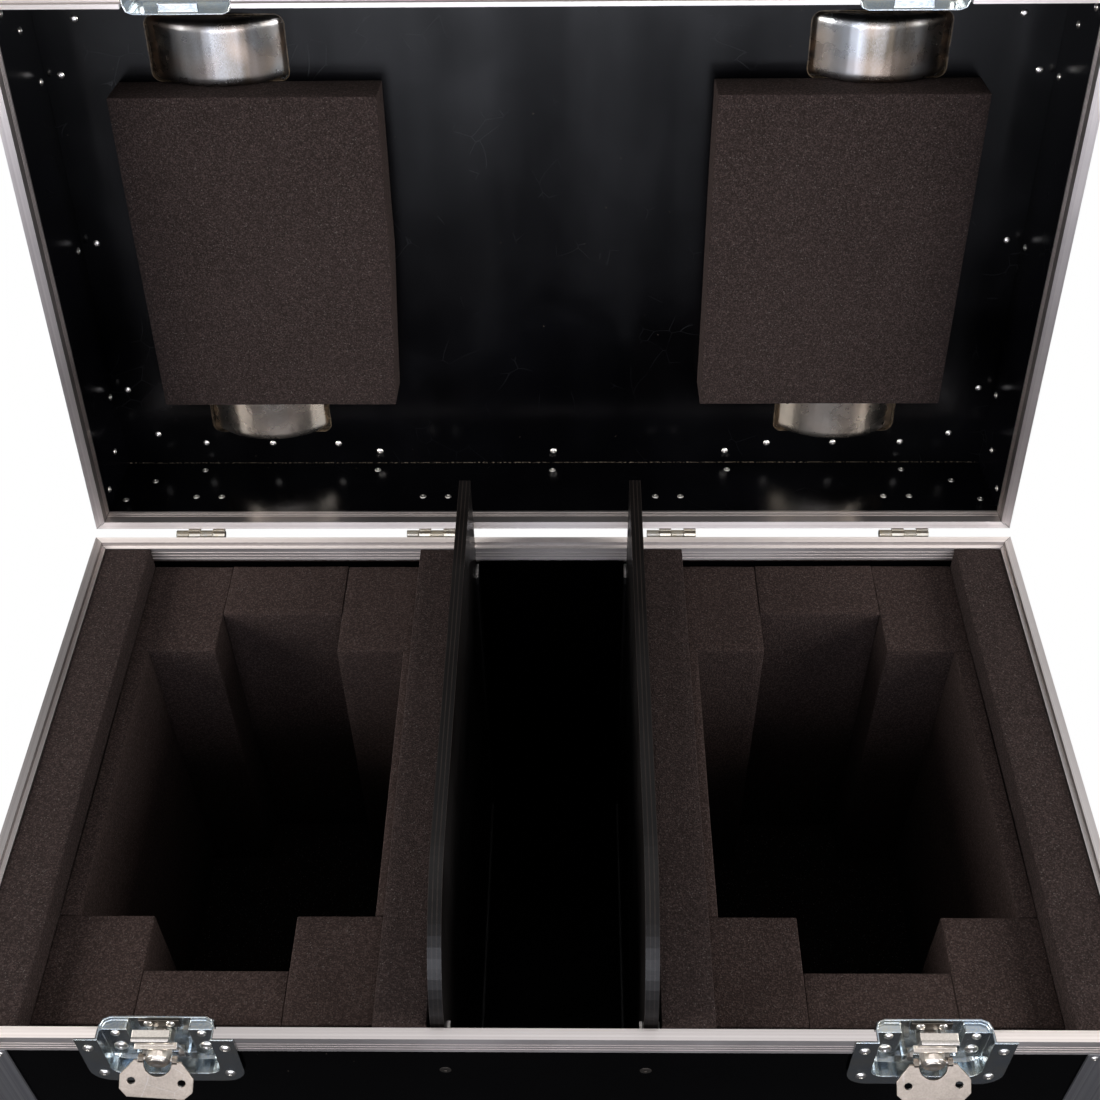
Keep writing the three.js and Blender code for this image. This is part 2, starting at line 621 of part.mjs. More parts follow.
// One half of a latch's dish, upper or lower, with the parting plane at Z = 0 and the flange's back at Y = 0
function latchDish(direction, flangeHeight, pocketHeight) {
  const half = LATCH_FLANGE_WIDTH / 2;
  const flange = roundedRectangle(-half, half, -flangeHeight, 0, LATCH_FLANGE_RADIUS, true, false);
  const pocketAt = (grow) => {
    const width = LATCH_POCKET_WIDTH / 2 + grow;
    const radius = LATCH_POCKET_RADIUS + grow;
    const above = LATCH_POCKET_BEND + 2 * CUT_OVERRUN;
    return roundedRectangle(-width, width, -pocketHeight - grow, above, radius, true, false);
  };
  const whole = pressedDish(flange, pocketAt, LATCH_POCKET_DEPTH, LATCH_SHEET, LATCH_POCKET_BEND);
  const trimmed = whole.trimByPlane([0, 0, -1], 0);
  return direction < 0 ? trimmed : trimmed.mirror([0, 0, 1]);
}

function latchPads() {
  const outer = LATCH_POCKET_WIDTH / 2;
  const wall = LATCH_POCKET_DEPTH - LATCH_SHEET;
  const shape = roundedRectangle(
    outer - LATCH_PAD_WIDTH, outer, -LATCH_PAD_TOP - LATCH_PAD_HEIGHT, -LATCH_PAD_TOP, LATCH_SHEET,
  );
  const pad = carriedBack(shape, wall - LATCH_PAD_RISE, wall + LATCH_SHEET / 2);
  return [pad, pad.mirror([1, 0, 0])];
}

// Two lugs on the back wall of the lower dish, and the pin that the hook turns on
function hookPivot() {
  const wall = LATCH_POCKET_DEPTH - LATCH_SHEET;
  const inner = HOOK_LEDGE_WIDTH / 2 + CLEARANCE;
  const outer = inner + HOOK_LUG_WIDTH;
  const reach = HOOK_PIN_RADIUS + LATCH_SHEET;
  const levels = [-HOOK_PIVOT_BELOW - reach, -HOOK_PIVOT_BELOW + reach];
  const depths = [HOOK_PIVOT_DEPTH - reach, wall + LATCH_SHEET / 2];
  return [
    block([inner, outer], depths, levels),
    block([-inner, -outer], depths, levels),
    barAcross(HOOK_PIN_RADIUS, -outer, outer, HOOK_PIVOT_DEPTH, -HOOK_PIVOT_BELOW, FACET_COUNTS.pin),
  ];
}

// The hook upright, as when it holds: two arms past the spindle, a plate above, and a tip turned inwards
function latchHook() {
  const half = HOOK_WIDTH / 2;
  const armOut = HOOK_LEDGE_WIDTH / 2;
  const armIn = armOut - HOOK_ARM_WIDTH;
  const sheet = [HOOK_PIVOT_DEPTH - HOOK_SHEET / 2, HOOK_PIVOT_DEPTH + HOOK_SHEET / 2];
  const ledgeTop = -HOOK_LEDGE_BELOW + HOOK_LEDGE_HEIGHT;
  const parts = [
    block([-half, half], sheet, [-HOOK_LEDGE_BELOW, HOOK_TOP]),
    block([-half, half], [sheet[0], sheet[0] + HOOK_TIP_REACH], [HOOK_TOP - HOOK_TIP_HEIGHT, HOOK_TOP]),
    block([-armOut, armOut], [sheet[0] - HOOK_LEDGE_DEPTH, sheet[1]], [-HOOK_LEDGE_BELOW, ledgeTop]),
    barAcross(HOOK_SHEET, -half, half, sheet[0] + HOOK_SHEET / 2, HOOK_TOP - HOOK_SHEET / 2, FACET_COUNTS.pin),
  ];
  for (const side of Object.values(SIDES)) {
    const xs = [side * armIn, side * armOut];
    parts.push(block(xs, sheet, [-HOOK_PIVOT_BELOW, -HOOK_LEDGE_BELOW + HOOK_SHEET / 2]));
    const [left, right] = [Math.min(...xs), Math.max(...xs)];
    parts.push(
      barAcross(HOOK_EYE_RADIUS, left, right, HOOK_PIVOT_DEPTH, -HOOK_PIVOT_BELOW, FACET_COUNTS.pin),
    );
  }
  const reach = armOut + CUT_OVERRUN;
  const bore = barAcross(
    boreFor(HOOK_PIN_RADIUS), -reach, reach, HOOK_PIVOT_DEPTH, -HOOK_PIVOT_BELOW, FACET_COUNTS.pin,
  );
  return cut(join(...parts), bore);
}

// The spindle on its own axis: barrel in front of the dish's back wall, shaft through it, head behind
function latchSpindle() {
  const wallFront = LATCH_POCKET_DEPTH - LATCH_SHEET;
  const barrelBack = wallFront - CLEARANCE;
  const headFront = LATCH_POCKET_DEPTH + CLEARANCE;
  const headBack = headFront + SPINDLE_HEAD_LENGTH;
  const front = -LATCH_SHEET - SPINDLE_PROUD;
  const turned = turnedOnY(
    [
      [0, front],
      [SPINDLE_RADIUS - SPINDLE_BEVEL, front],
      [SPINDLE_RADIUS, front + SPINDLE_BEVEL],
      [SPINDLE_RADIUS, barrelBack],
      [SPINDLE_SHAFT_RADIUS, barrelBack],
      [SPINDLE_SHAFT_RADIUS, headFront],
      [SPINDLE_HEAD_RADIUS, headFront],
      [SPINDLE_HEAD_RADIUS, headBack],
      [0, headBack],
    ],
    FACET_COUNTS.barrel,
  );
  const pinHalf = BUTTERFLY_NOTCH_RADIUS + BUTTERFLY_EYE_WIDTH;
  const pinPlace = -LATCH_SHEET - BUTTERFLY_PIN_PROUD;
  return join(turned, barAcross(BUTTERFLY_PIN_RADIUS, -pinHalf, pinHalf, pinPlace, 0, FACET_COUNTS.pin));
}

// The butterfly flat and upright, hanging from its pin, which lies along X through the origin
function latchButterfly() {
  const half = BUTTERFLY_WIDTH / 2;
  const topHalf = BUTTERFLY_NOTCH_RADIUS + BUTTERFLY_EYE_WIDTH + CLEARANCE;
  const waistShare = 0.45;
  const footShare = 0.8;
  const footWidthShare = 0.78;
  const shape = new THREE.Shape();
  shape.moveTo(BUTTERFLY_NOTCH_RADIUS, BUTTERFLY_HEAD);
  shape.lineTo(topHalf, BUTTERFLY_HEAD);
  shape.lineTo(half, -waistShare * BUTTERFLY_LENGTH);
  shape.lineTo(half, -footShare * BUTTERFLY_LENGTH);
  shape.lineTo(footWidthShare * half, -BUTTERFLY_LENGTH);
  shape.lineTo(-footWidthShare * half, -BUTTERFLY_LENGTH);
  shape.lineTo(-half, -footShare * BUTTERFLY_LENGTH);
  shape.lineTo(-half, -waistShare * BUTTERFLY_LENGTH);
  shape.lineTo(-topHalf, BUTTERFLY_HEAD);
  shape.lineTo(-BUTTERFLY_NOTCH_RADIUS, BUTTERFLY_HEAD);
  shape.absarc(0, -BUTTERFLY_NOTCH_DROP, BUTTERFLY_NOTCH_RADIUS, Math.PI, 2 * Math.PI, false);
  const halfSheet = BUTTERFLY_SHEET / 2;
  const plate = carriedBack(shape, -halfSheet, halfSheet, FACET_COUNTS.notch);
  const holes = Object.values(SIDES).map((side) =>
    barBack(
      BUTTERFLY_HOLE_RADIUS, -BUTTERFLY_SHEET, BUTTERFLY_SHEET,
      side * BUTTERFLY_HOLE_X, -BUTTERFLY_HOLE_Z, FACET_COUNTS.pin,
    ),
  );
  const eyeIn = BUTTERFLY_NOTCH_RADIUS + CLEARANCE;
  const eye = barAcross(BUTTERFLY_EYE_RADIUS, eyeIn, topHalf, 0, 0, FACET_COUNTS.pin);
  const bore = barAcross(boreFor(BUTTERFLY_PIN_RADIUS), -half, half, 0, 0, FACET_COUNTS.pin);
  return cut(join(plate, eye, eye.mirror([1, 0, 0])), bore, ...holes);
}

// The ledge in the upper dish that the hook's tip comes down on
function latchKeeper() {
  const wall = LATCH_POCKET_DEPTH - LATCH_SHEET;
  const top = HOOK_TOP - HOOK_TIP_HEIGHT - KEEPER_GAP;
  const half = KEEPER_WIDTH / 2;
  return block([-half, half], [wall - KEEPER_REACH, wall + LATCH_SHEET / 2], [top - KEEPER_HEIGHT, top]);
}

function buildLatches() {
  const wallFront = LATCH_POCKET_DEPTH - LATCH_SHEET;
  const shaftHole = barBack(
    boreFor(SPINDLE_SHAFT_RADIUS), wallFront - CUT_OVERRUN, LATCH_POCKET_DEPTH + CUT_OVERRUN,
    0, -SPINDLE_BELOW, FACET_COUNTS.barrel,
  );
  const lower = latchDish(-1, LATCH_LOWER_FLANGE, LATCH_LOWER_POCKET);
  const lowerDish = cut(join(lower, ...latchPads(), ...hookPivot()), shaftHole);
  const upper = join(latchDish(1, LATCH_UPPER_FLANGE, LATCH_UPPER_POCKET), latchKeeper());
  const upperDish = upper.trimByPlane([0, 0, 1], CLEARANCE);
  for (const [side, sign] of Object.entries(SIDES)) {
    const front = -HALF_DEPTH - CLEARANCE;
    const at = new THREE.Vector3(sign * LATCH_PLACE_X, front, PARTING);
    place(`latch_lower_dish_${side}`, lowerDish, "zinc", base).position.copy(at);
    place(`latch_upper_dish_${side}`, upperDish, "zinc", lid).position.copy(at);

    const hookTurn = new THREE.Group();
    hookTurn.position.set(at.x, at.y + HOOK_PIVOT_DEPTH, at.z - HOOK_PIVOT_BELOW);
    hookTurn.rotation.x = HOOK_LEAN;
    base.add(hookTurn);
    const hook = place(`latch_hook_${side}`, latchHook(), "steel", hookTurn);
    hook.position.set(0, -HOOK_PIVOT_DEPTH, HOOK_PIVOT_BELOW);

    const spindleTurn = new THREE.Group();
    spindleTurn.position.set(at.x, at.y, at.z - SPINDLE_BELOW);
    spindleTurn.rotation.y = SPINDLE_REST_ROLLS[side];
    base.add(spindleTurn);
    place(`latch_spindle_${side}`, latchSpindle(), "zinc", spindleTurn);
    const butterflyTurn = new THREE.Group();
    butterflyTurn.position.y = -LATCH_SHEET - BUTTERFLY_PIN_PROUD;
    butterflyTurn.rotation.x = -BUTTERFLY_TILT;
    spindleTurn.add(butterflyTurn);
    place(`latch_butterfly_${side}`, latchButterfly(), "steel", butterflyTurn);
  }
}

// Dividers and the channels that hold them
function buildDividers() {
  const slot = CLEARANCE;
  const seat = FLOOR_BOARD + CLEARANCE;
  const wall = HALF_DEPTH - BOARD_IN - CLEARANCE;
  const edge = wall - CHANNEL_WALL - slot;
  const bottom = seat + CHANNEL_WALL + slot;
  const top = PARTING + DIVIDER_RISE;
  const outline = new THREE.Shape();
  outline.moveTo(edge, bottom);
  outline.lineTo(edge, top);
  outline.lineTo(-edge + DIVIDER_NOSE_RADIUS, top);
  outline.absarc(
    -edge + DIVIDER_NOSE_RADIUS, top - DIVIDER_NOSE_RADIUS, DIVIDER_NOSE_RADIUS, Math.PI / 2, Math.PI, false,
  );
  outline.lineTo(-edge, bottom);
  const channelTop = PARTING - CHANNEL_BELOW_RIM;
  const out = DIVIDER_OUT + slot + CHANNEL_WALL;
  const inn = DIVIDER_IN - slot - CHANNEL_WALL;
  for (const [side, sign] of Object.entries(SIDES)) {
    const faces = [sign * DIVIDER_IN, sign * DIVIDER_OUT];
    const board = carriedAcross(outline, Math.min(...faces), Math.max(...faces), FACET_COUNTS.nose);
    place(`divider_${side}`, board, "plywood", base);
    const channel = cut(
      block([sign * inn, sign * out], [-wall, wall], [seat, channelTop]),
      block(
        [sign * (inn - CUT_OVERRUN), sign * (out + CUT_OVERRUN)],
        [-wall + CHANNEL_DEPTH, wall - CHANNEL_DEPTH],
        [seat + CHANNEL_DEPTH, channelTop + CUT_OVERRUN],
      ),
      block(
        [sign * (DIVIDER_IN - slot), sign * (DIVIDER_OUT + slot)],
        [-wall + CHANNEL_WALL, wall - CHANNEL_WALL],
        [seat + CHANNEL_WALL, channelTop + CUT_OVERRUN],
      ),
    );
    place(`divider_channel_${side}`, channel, "aluminium", base);
  }
}

// Foam for each light: a tall slab on the side board, and a liner with a tall slab on the divider,
// a lower ring of blocks and a pit in the shape of a cross
function buildFoam() {
  const inner = DIVIDER_OUT + CLEARANCE + CHANNEL_WALL + CLEARANCE;
  const outer = HALF_WIDTH - RIM_WIDTH - CLEARANCE;
  const end = HALF_DEPTH - RIM_WIDTH - CLEARANCE;
  const low = FLOOR_BOARD + CLEARANCE;
  const slabTop = PARTING - FOAM_SLAB_BELOW_RIM;
  const blockTop = PARTING - FOAM_BLOCK_BELOW_RIM;
  const over = slabTop + CUT_OVERRUN;
  const slabIn = outer - FOAM_OUTER_SLAB;
  const linerOut = slabIn - CLEARANCE;
  const stripIn = inner + FOAM_INNER_SLAB;
  const pit = [stripIn + FOAM_INNER_STRIP, linerOut - FOAM_OUTER_STRIP];
  const middle = (pit[0] + pit[1]) / 2;
  const recess = [middle - FOAM_RECESS_WIDTH / 2, middle + FOAM_RECESS_WIDTH / 2];
  const pitLevels = [low + FOAM_FLOOR, over];
  for (const [side, sign] of Object.entries(SIDES)) {
    const across = (xs) => xs.map((x) => sign * x);
    const slab = cut(block(across([slabIn, outer]), [-end, end], [low, slabTop]), handleRelief(sign));
    place(`foam_side_slab_${side}`, slab, "foam", base);
    const lowered = [stripIn, linerOut + CUT_OVERRUN];
    const liner = cut(
      block(across([inner, linerOut]), [-end, end], [low, slabTop]),
      block(across(lowered), [-end - CUT_OVERRUN, end + CUT_OVERRUN], [blockTop, over]),
      block(across(pit), [-end + FOAM_FRONT_BLOCK, end - FOAM_REAR_BLOCK], pitLevels),
      block(across(recess), [-end + FOAM_FRONT_RECESS, end - FOAM_REAR_RECESS], pitLevels),
      ...latchRelief(),
    );
    place(`foam_liner_${side}`, liner, "foam", base);
  }
}

// Room in the foam for the back of each latch and of its spindle
function latchRelief() {
  const halfWidth = LATCH_POCKET_WIDTH / 2 + LATCH_SHEET + CLEARANCE;
  const low = PARTING - LATCH_LOWER_POCKET - LATCH_SHEET - CLEARANCE;
  const back = -HALF_DEPTH + LATCH_POCKET_DEPTH + SPINDLE_HEAD_LENGTH + CLEARANCE;
  return Object.values(SIDES).map((side) => {
    const x = side * LATCH_PLACE_X;
    return block([x - halfWidth, x + halfWidth], [-HALF_DEPTH, back], [low, PARTING]);
  });
}

function buildLidPads() {
  const half = DISH_PLACE_Y - DISH_WIDTH / 2 - DISH_SHEET - CLEARANCE;
  const outer = HALF_WIDTH - LID_PAD_FROM_SIDE;
  const glued = LID_INSIDE - CLEARANCE;
  for (const [side, sign] of Object.entries(SIDES)) {
    const pad = block(
      [sign * LID_PAD_INNER_X, sign * outer], [-half, half], [glued - LID_PAD_THICKNESS, glued],
    );
    place(`lid_pad_${side}`, pad, "foam", lid);
  }
}

function dishPlaces() {
  return Object.entries(SIDES).flatMap(([side, sideSign]) =>
    Object.entries(ENDS).map(([end, endSign]) => ({
      name: `stacking_dish_${end}_${side}`,
      at: new THREE.Vector2(sideSign * DISH_PLACE_X, endSign * DISH_PLACE_Y),
    })),
  );
}

// A dish's section along its length, seen from the front: upright ends and a bottom that bows down
function dishSection(grow) {
  const half = DISH_LENGTH / 2 + grow;
  const ends = -DISH_END_DEPTH - grow;
  const bow = DISH_DEPTH - DISH_END_DEPTH;
  const chord = half - DISH_BEND;
  const radius = (chord * chord + bow * bow) / (2 * bow);
  const spread = Math.asin(chord / radius);
  const top = DISH_BEND + 2 * CUT_OVERRUN;
  const shape = new THREE.Shape();
  shape.moveTo(-half, top);
  shape.lineTo(-half, ends + DISH_BEND);
  shape.absarc(0, ends - bow + radius, radius, -Math.PI / 2 - spread, -Math.PI / 2 + spread, false);
  shape.lineTo(half, ends + DISH_BEND);
  shape.lineTo(half, top);
  return shape;
}

function buildStackingDishes() {
  const flangeX = DISH_FLANGE_LENGTH / 2;
  const flangeY = DISH_FLANGE_WIDTH / 2;
  const flange = roundedRectangle(-flangeX, flangeX, -flangeY, flangeY, DISH_FLANGE_RADIUS);
  const drum = (grow) => {
    const half = DISH_WIDTH / 2 + grow;
    const bend = DISH_BEND + grow;
    const geometry = new THREE.ExtrudeGeometry(dishSection(grow), {
      depth: 2 * (half - bend),
      bevelThickness: bend,
      bevelSize: bend,
      bevelOffset: -bend,
      bevelSegments: FACET_COUNTS.corner,
      curveSegments: FACET_COUNTS.dish,
    });
    return solidFrom(geometry.rotateX(Math.PI / 2).translate(0, half - bend, 0));
  };
  const top = PARTING + LID_HEIGHT + CLEARANCE;
  const cup = drum(DISH_SHEET).trimByPlane([0, 0, -1], -DISH_SHEET / 2);
  const dish = cut(join(raisedFromPlan(flange, 0, DISH_SHEET), cup), drum(0));
  for (const { name, at } of dishPlaces()) {
    place(name, dish, "steel", lid).position.set(at.x, at.y, top);
  }
}

// The castors' fixed halves, bolted under the floor board: plate, ball race and kingpin with its nut
function castorPlates() {
  const x = CASTOR_PLATE_LENGTH / 2;
  const y = CASTOR_PLATE_WIDTH / 2;
  const under = -CASTOR_PLATE_SHEET;
  const nutTop = crownTop() - FORK_SHEET - CLEARANCE;
  const plate = join(
    raisedFromPlan(roundedRectangle(-x, x, -y, y, CASTOR_PLATE_RADIUS), under, CASTOR_PLATE_SHEET),
    barUp(CASTOR_RACE_RADIUS, under - CASTOR_RACE_HEIGHT, under, 0, 0, FACET_COUNTS.barrel),
    barUp(CASTOR_KINGPIN_RADIUS, nutTop, under, 0, 0, FACET_COUNTS.pin),
    barUp(CASTOR_NUT_RADIUS, nutTop - CASTOR_NUT_HEIGHT, nutTop, 0, 0, FACET_COUNTS.pin / 2),
  );
  return castorPlaces().map(({ at }) => plate.translate([at.x, at.y, 0]));
}

function castorPlaces() {
  return Object.entries(SIDES).flatMap(([side, sign]) =>
    Object.entries(ENDS).map(([end, endSign]) => ({
      name: `${end}_${side}`,
      at: new THREE.Vector2(sign * (DISH_PLACE_X + CASTOR_TRAIL), endSign * DISH_PLACE_Y),
      turn: sign > 0 ? 0 : Math.PI,
    })),
  );
}

// The level of a fork's crown, just under the ball race
function crownTop() {
  return -CASTOR_PLATE_SHEET - CASTOR_RACE_HEIGHT - CLEARANCE;
}

// A castor's swivelling half: crown, two legs and the axle, trailing towards -X
function castorFork() {
  const top = crownTop();
  const under = top - FORK_SHEET;
  const axleZ = -CASTOR_HEIGHT + WHEEL_RADIUS;
  const inside = WHEEL_WIDTH / 2 + FORK_SIDE_GAP;
  const outside = inside + FORK_SHEET;
  const leg = new THREE.Shape();
  leg.moveTo(FORK_LEG_TOP, top);
  leg.lineTo(FORK_LEG_TOP, top - FORK_LEG_DROP);
  leg.lineTo(-CASTOR_TRAIL + FORK_AXLE_BOSS, axleZ);
  leg.absarc(-CASTOR_TRAIL, axleZ, FORK_AXLE_BOSS, 0, -Math.PI, true);
  leg.lineTo(-FORK_LEG_TOP, top - FORK_LEG_DROP);
  leg.lineTo(-FORK_LEG_TOP, top);
  const crown = cut(
    join(
      barUp(FORK_CROWN_RADIUS, under, top, 0, 0, FACET_COUNTS.barrel),
      block([-FORK_LEG_TOP, FORK_LEG_TOP], [-outside, outside], [under, top]),
    ),
    barUp(
      boreFor(CASTOR_KINGPIN_RADIUS), under - CUT_OVERRUN, top + CUT_OVERRUN, 0, 0, FACET_COUNTS.pin,
    ),
  );
  const nutEnd = outside + AXLE_NUT_LENGTH;
  return join(
    crown,
    carriedBack(leg, inside, outside),
    carriedBack(leg, -outside, -inside),
    barBack(AXLE_RADIUS, -outside, outside, -CASTOR_TRAIL, axleZ, FACET_COUNTS.pin),
    barBack(AXLE_NUT_RADIUS, outside, nutEnd, -CASTOR_TRAIL, axleZ, FACET_COUNTS.pin / 2),
    barBack(AXLE_NUT_RADIUS, -nutEnd, -outside, -CASTOR_TRAIL, axleZ, FACET_COUNTS.pin / 2),
  );
}

// A wheel turned on the Y axis: tread, thin web and hub, with a bore for the axle
function castorWheel() {
  const half = WHEEL_WIDTH / 2;
  const web = WHEEL_WEB / 2;
  const rimIn = WHEEL_RADIUS - WHEEL_TREAD;
  const hub = half + FORK_SIDE_GAP - CLEARANCE;
  const bore = boreFor(AXLE_RADIUS);
  const side = [
    [bore, hub],
    [WHEEL_HUB_RADIUS, hub],
    [WHEEL_HUB_RADIUS, web],
    [rimIn, web],
    [rimIn, half],
    [WHEEL_RADIUS, half - WHEEL_TREAD_BEVEL],
  ];
  const mirrored = side.map(([radius, place]) => [radius, -place]);
  return turnedOnY([...mirrored, ...side.toReversed(), mirrored[0]], FACET_COUNTS.wheel);
}

function buildCastors() {
  for (const { name, at, turn } of castorPlaces()) {
    const castor = new THREE.Group();
    castor.position.set(at.x, at.y, 0);
    castor.rotation.z = turn;
    base.add(castor);
    place(`castor_fork_${name}`, castorFork(), "zinc", castor);
    const wheel = place(`castor_wheel_${name}`, castorWheel(), "rubber", castor);
    wheel.position.set(-CASTOR_TRAIL, 0, -CASTOR_HEIGHT + WHEEL_RADIUS);
  }
}

// Where a handle's pocket goes through the side board, on the side that the sign names
function handleOpening(sign) {
  const x = HANDLE_POCKET_WIDTH / 2 + HANDLE_SHEET + CLEARANCE;
  const z = HANDLE_POCKET_HEIGHT / 2 + HANDLE_SHEET + CLEARANCE;
  const shape = roundedRectangle(-x, x, HANDLE_PLACE_Z - z, HANDLE_PLACE_Z + z, HANDLE_POCKET_RADIUS);
  const faces = [sign * (HALF_WIDTH + CUT_OVERRUN), sign * (HALF_WIDTH - BOARD_IN - CUT_OVERRUN)];
  return carriedAcross(shape, Math.min(...faces), Math.max(...faces));
}

// Room in the foam for the back of a handle's pocket
function handleRelief(sign) {
  const y = HANDLE_POCKET_WIDTH / 2 + HANDLE_SHEET + CLEARANCE;
  const z = HANDLE_POCKET_HEIGHT / 2 + HANDLE_SHEET + CLEARANCE;
  const back = HALF_WIDTH - BOARD_OUT + CLEARANCE - HANDLE_POCKET_DEPTH - CLEARANCE;
  return block([sign * HALF_WIDTH, sign * back], [-y, y], [HANDLE_PLACE_Z - z, HANDLE_PLACE_Z + z]);
}

// The bail lies in the pocket, with its pivot along X through the origin and its grip below
function handleBail() {
  const half = BAIL_WIDTH / 2;
  const tip = half + BAIL_EAR_WIDTH;
  const path = new THREE.CurvePath();
  const corner = (x, z) => new THREE.Vector3(x, 0, z);
  const arc = (x, fromX, fromZ, toX, toZ) =>
    new THREE.QuadraticBezierCurve3(corner(fromX, fromZ), corner(x, -BAIL_DROP), corner(toX, toZ));
  path.add(new THREE.LineCurve3(corner(-half, 0), corner(-half, -BAIL_DROP + BAIL_BEND)));
  path.add(arc(-half, -half, -BAIL_DROP + BAIL_BEND, -half + BAIL_BEND, -BAIL_DROP));
  path.add(new THREE.LineCurve3(corner(-half + BAIL_BEND, -BAIL_DROP), corner(half - BAIL_BEND, -BAIL_DROP)));
  path.add(arc(half, half - BAIL_BEND, -BAIL_DROP, half, -BAIL_DROP + BAIL_BEND));
  path.add(new THREE.LineCurve3(corner(half, -BAIL_DROP + BAIL_BEND), corner(half, 0)));
  const section = new THREE.Shape();
  section.absarc(0, 0, BAIL_RADIUS, 0, 2 * Math.PI, false);
  const rod = new THREE.ExtrudeGeometry(section, {
    steps: BAIL_STEP_COUNT,
    extrudePath: path,
    curveSegments: FACET_COUNTS.rod / 2,
  });
  const grip = half - BAIL_BEND - BAIL_GRIP_GAP;
  return join(
    solidFrom(rod),
    barAcross(BAIL_RADIUS, -tip, -half + BAIL_RADIUS, 0, 0, FACET_COUNTS.pin),
    barAcross(BAIL_RADIUS, half - BAIL_RADIUS, tip, 0, 0, FACET_COUNTS.pin),
    barAcross(BAIL_GRIP_RADIUS, -grip, grip, 0, -BAIL_DROP, FACET_COUNTS.barrel / 2),
  );
}

// A handle's dish seen from the outside, with its flange's back at Y = 0 and two ears for the bail
function handleDish(pivotZ) {
  const flangeX = HANDLE_POCKET_WIDTH / 2 + HANDLE_FLANGE_MARGIN;
  const flangeZ = HANDLE_POCKET_HEIGHT / 2 + HANDLE_FLANGE_MARGIN;
  const flange = roundedRectangle(-flangeX, flangeX, -flangeZ, flangeZ, HANDLE_FLANGE_RADIUS);
  const pocketAt = (grow) => {
    const x = HANDLE_POCKET_WIDTH / 2 + grow;
    const z = HANDLE_POCKET_HEIGHT / 2 + grow;
    return roundedRectangle(-x, x, -z, z, HANDLE_POCKET_RADIUS + grow);
  };
  const dish = pressedDish(flange, pocketAt, HANDLE_POCKET_DEPTH, HANDLE_SHEET, HANDLE_POCKET_BEND);
  const earIn = BAIL_WIDTH / 2 + BAIL_RADIUS + CLEARANCE;
  const wall = HANDLE_POCKET_DEPTH - HANDLE_SHEET / 2;
  const ear = join(
    barAcross(BAIL_EAR_RADIUS, earIn, earIn + BAIL_EAR_WIDTH, BAIL_DEPTH, pivotZ, FACET_COUNTS.barrel / 2),
    block(
      [earIn, earIn + BAIL_EAR_WIDTH], [BAIL_DEPTH, wall], [pivotZ - BAIL_EAR_RADIUS, pivotZ + BAIL_EAR_RADIUS],
    ),
  );
  const bore = barAcross(boreFor(BAIL_RADIUS), -flangeX, flangeX, BAIL_DEPTH, pivotZ, FACET_COUNTS.pin);
  const pocket = HANDLE_POCKET_WIDTH / 2;
  const boreInside = bore.trimByPlane([1, 0, 0], -pocket).trimByPlane([-1, 0, 0], -pocket);
  return join(dish, cut(ear, boreInside), cut(ear.mirror([1, 0, 0]), boreInside));
}

function buildHandles() {
  const pivotZ = HANDLE_POCKET_HEIGHT / 2 - BAIL_PIVOT_DOWN;
  for (const [side, sign] of Object.entries(SIDES)) {
    const mounted = new THREE.Group();
    mounted.position.set(sign * (HALF_WIDTH - BOARD_OUT + CLEARANCE), 0, HANDLE_PLACE_Z);
    mounted.rotation.z = (sign * Math.PI) / 2;
    base.add(mounted);
    place(`handle_dish_${side}`, handleDish(pivotZ), "zinc", mounted);
    place(`handle_bail_${side}`, handleBail(), "steel", mounted).position.set(0, BAIL_DEPTH, pivotZ);
  }
}

buildBaseBoards();
buildLidBoards();
buildRims();
buildEdging();
buildHinges();
buildLatches();
buildDividers();
buildFoam();
buildLidPads();
buildStackingDishes();
buildCastors();
buildHandles();

export default flightCase;
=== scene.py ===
"""The looks of a wheeled lighting flight case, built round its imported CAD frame, in metres."""

import logging
import math
from collections.abc import Callable, Iterable, Sequence
from dataclasses import dataclass, field
from enum import Enum
from functools import cached_property, partial, reduce
from itertools import product

import bmesh
import bpy
from mathutils import Matrix, Vector, noise


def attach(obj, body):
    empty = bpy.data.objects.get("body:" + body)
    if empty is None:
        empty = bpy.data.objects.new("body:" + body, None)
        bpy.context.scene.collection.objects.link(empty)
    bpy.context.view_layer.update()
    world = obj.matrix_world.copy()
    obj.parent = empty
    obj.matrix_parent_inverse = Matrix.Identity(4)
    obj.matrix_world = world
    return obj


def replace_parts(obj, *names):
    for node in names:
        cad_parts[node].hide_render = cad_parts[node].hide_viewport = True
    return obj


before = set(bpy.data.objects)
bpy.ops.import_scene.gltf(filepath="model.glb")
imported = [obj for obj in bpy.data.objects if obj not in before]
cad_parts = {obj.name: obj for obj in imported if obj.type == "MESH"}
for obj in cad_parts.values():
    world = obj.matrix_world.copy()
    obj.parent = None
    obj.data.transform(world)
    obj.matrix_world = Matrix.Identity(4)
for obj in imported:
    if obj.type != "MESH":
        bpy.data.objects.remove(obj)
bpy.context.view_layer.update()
LOG = logging.getLogger("flight_case")

MM = 0.001

# The case as the CAD has it
HALF_WIDTH = 430 * MM
HALF_DEPTH = 247 * MM
PARTING = 430 * MM
LID_TOP = 536 * MM
LID_INSIDE = 529 * MM
BOARD_OUT = 1.8 * MM
BOARD_IN = 8.8 * MM
EDGING_OUT = 0.3 * MM
EDGING_FACE = 1.8 * MM
HINGE_POINT = Vector((0, 252.3, 428.8)) * MM
LID_OPEN_ANGLE = math.radians(98.9)
LATCH_X = 275 * MM
LATCH_BACK = -247.3 * MM
SPINDLE_Z = 409 * MM
CASTOR_X = 311 * MM
WHEEL_X = 273 * MM
CASTOR_Y = 173.5 * MM
WHEEL_Z = -87 * MM
GROUND_Z = -137 * MM
HANDLE_Z = 255 * MM
DIVIDER_X = 71 * MM
PLY_LAYER = 1.67 * MM
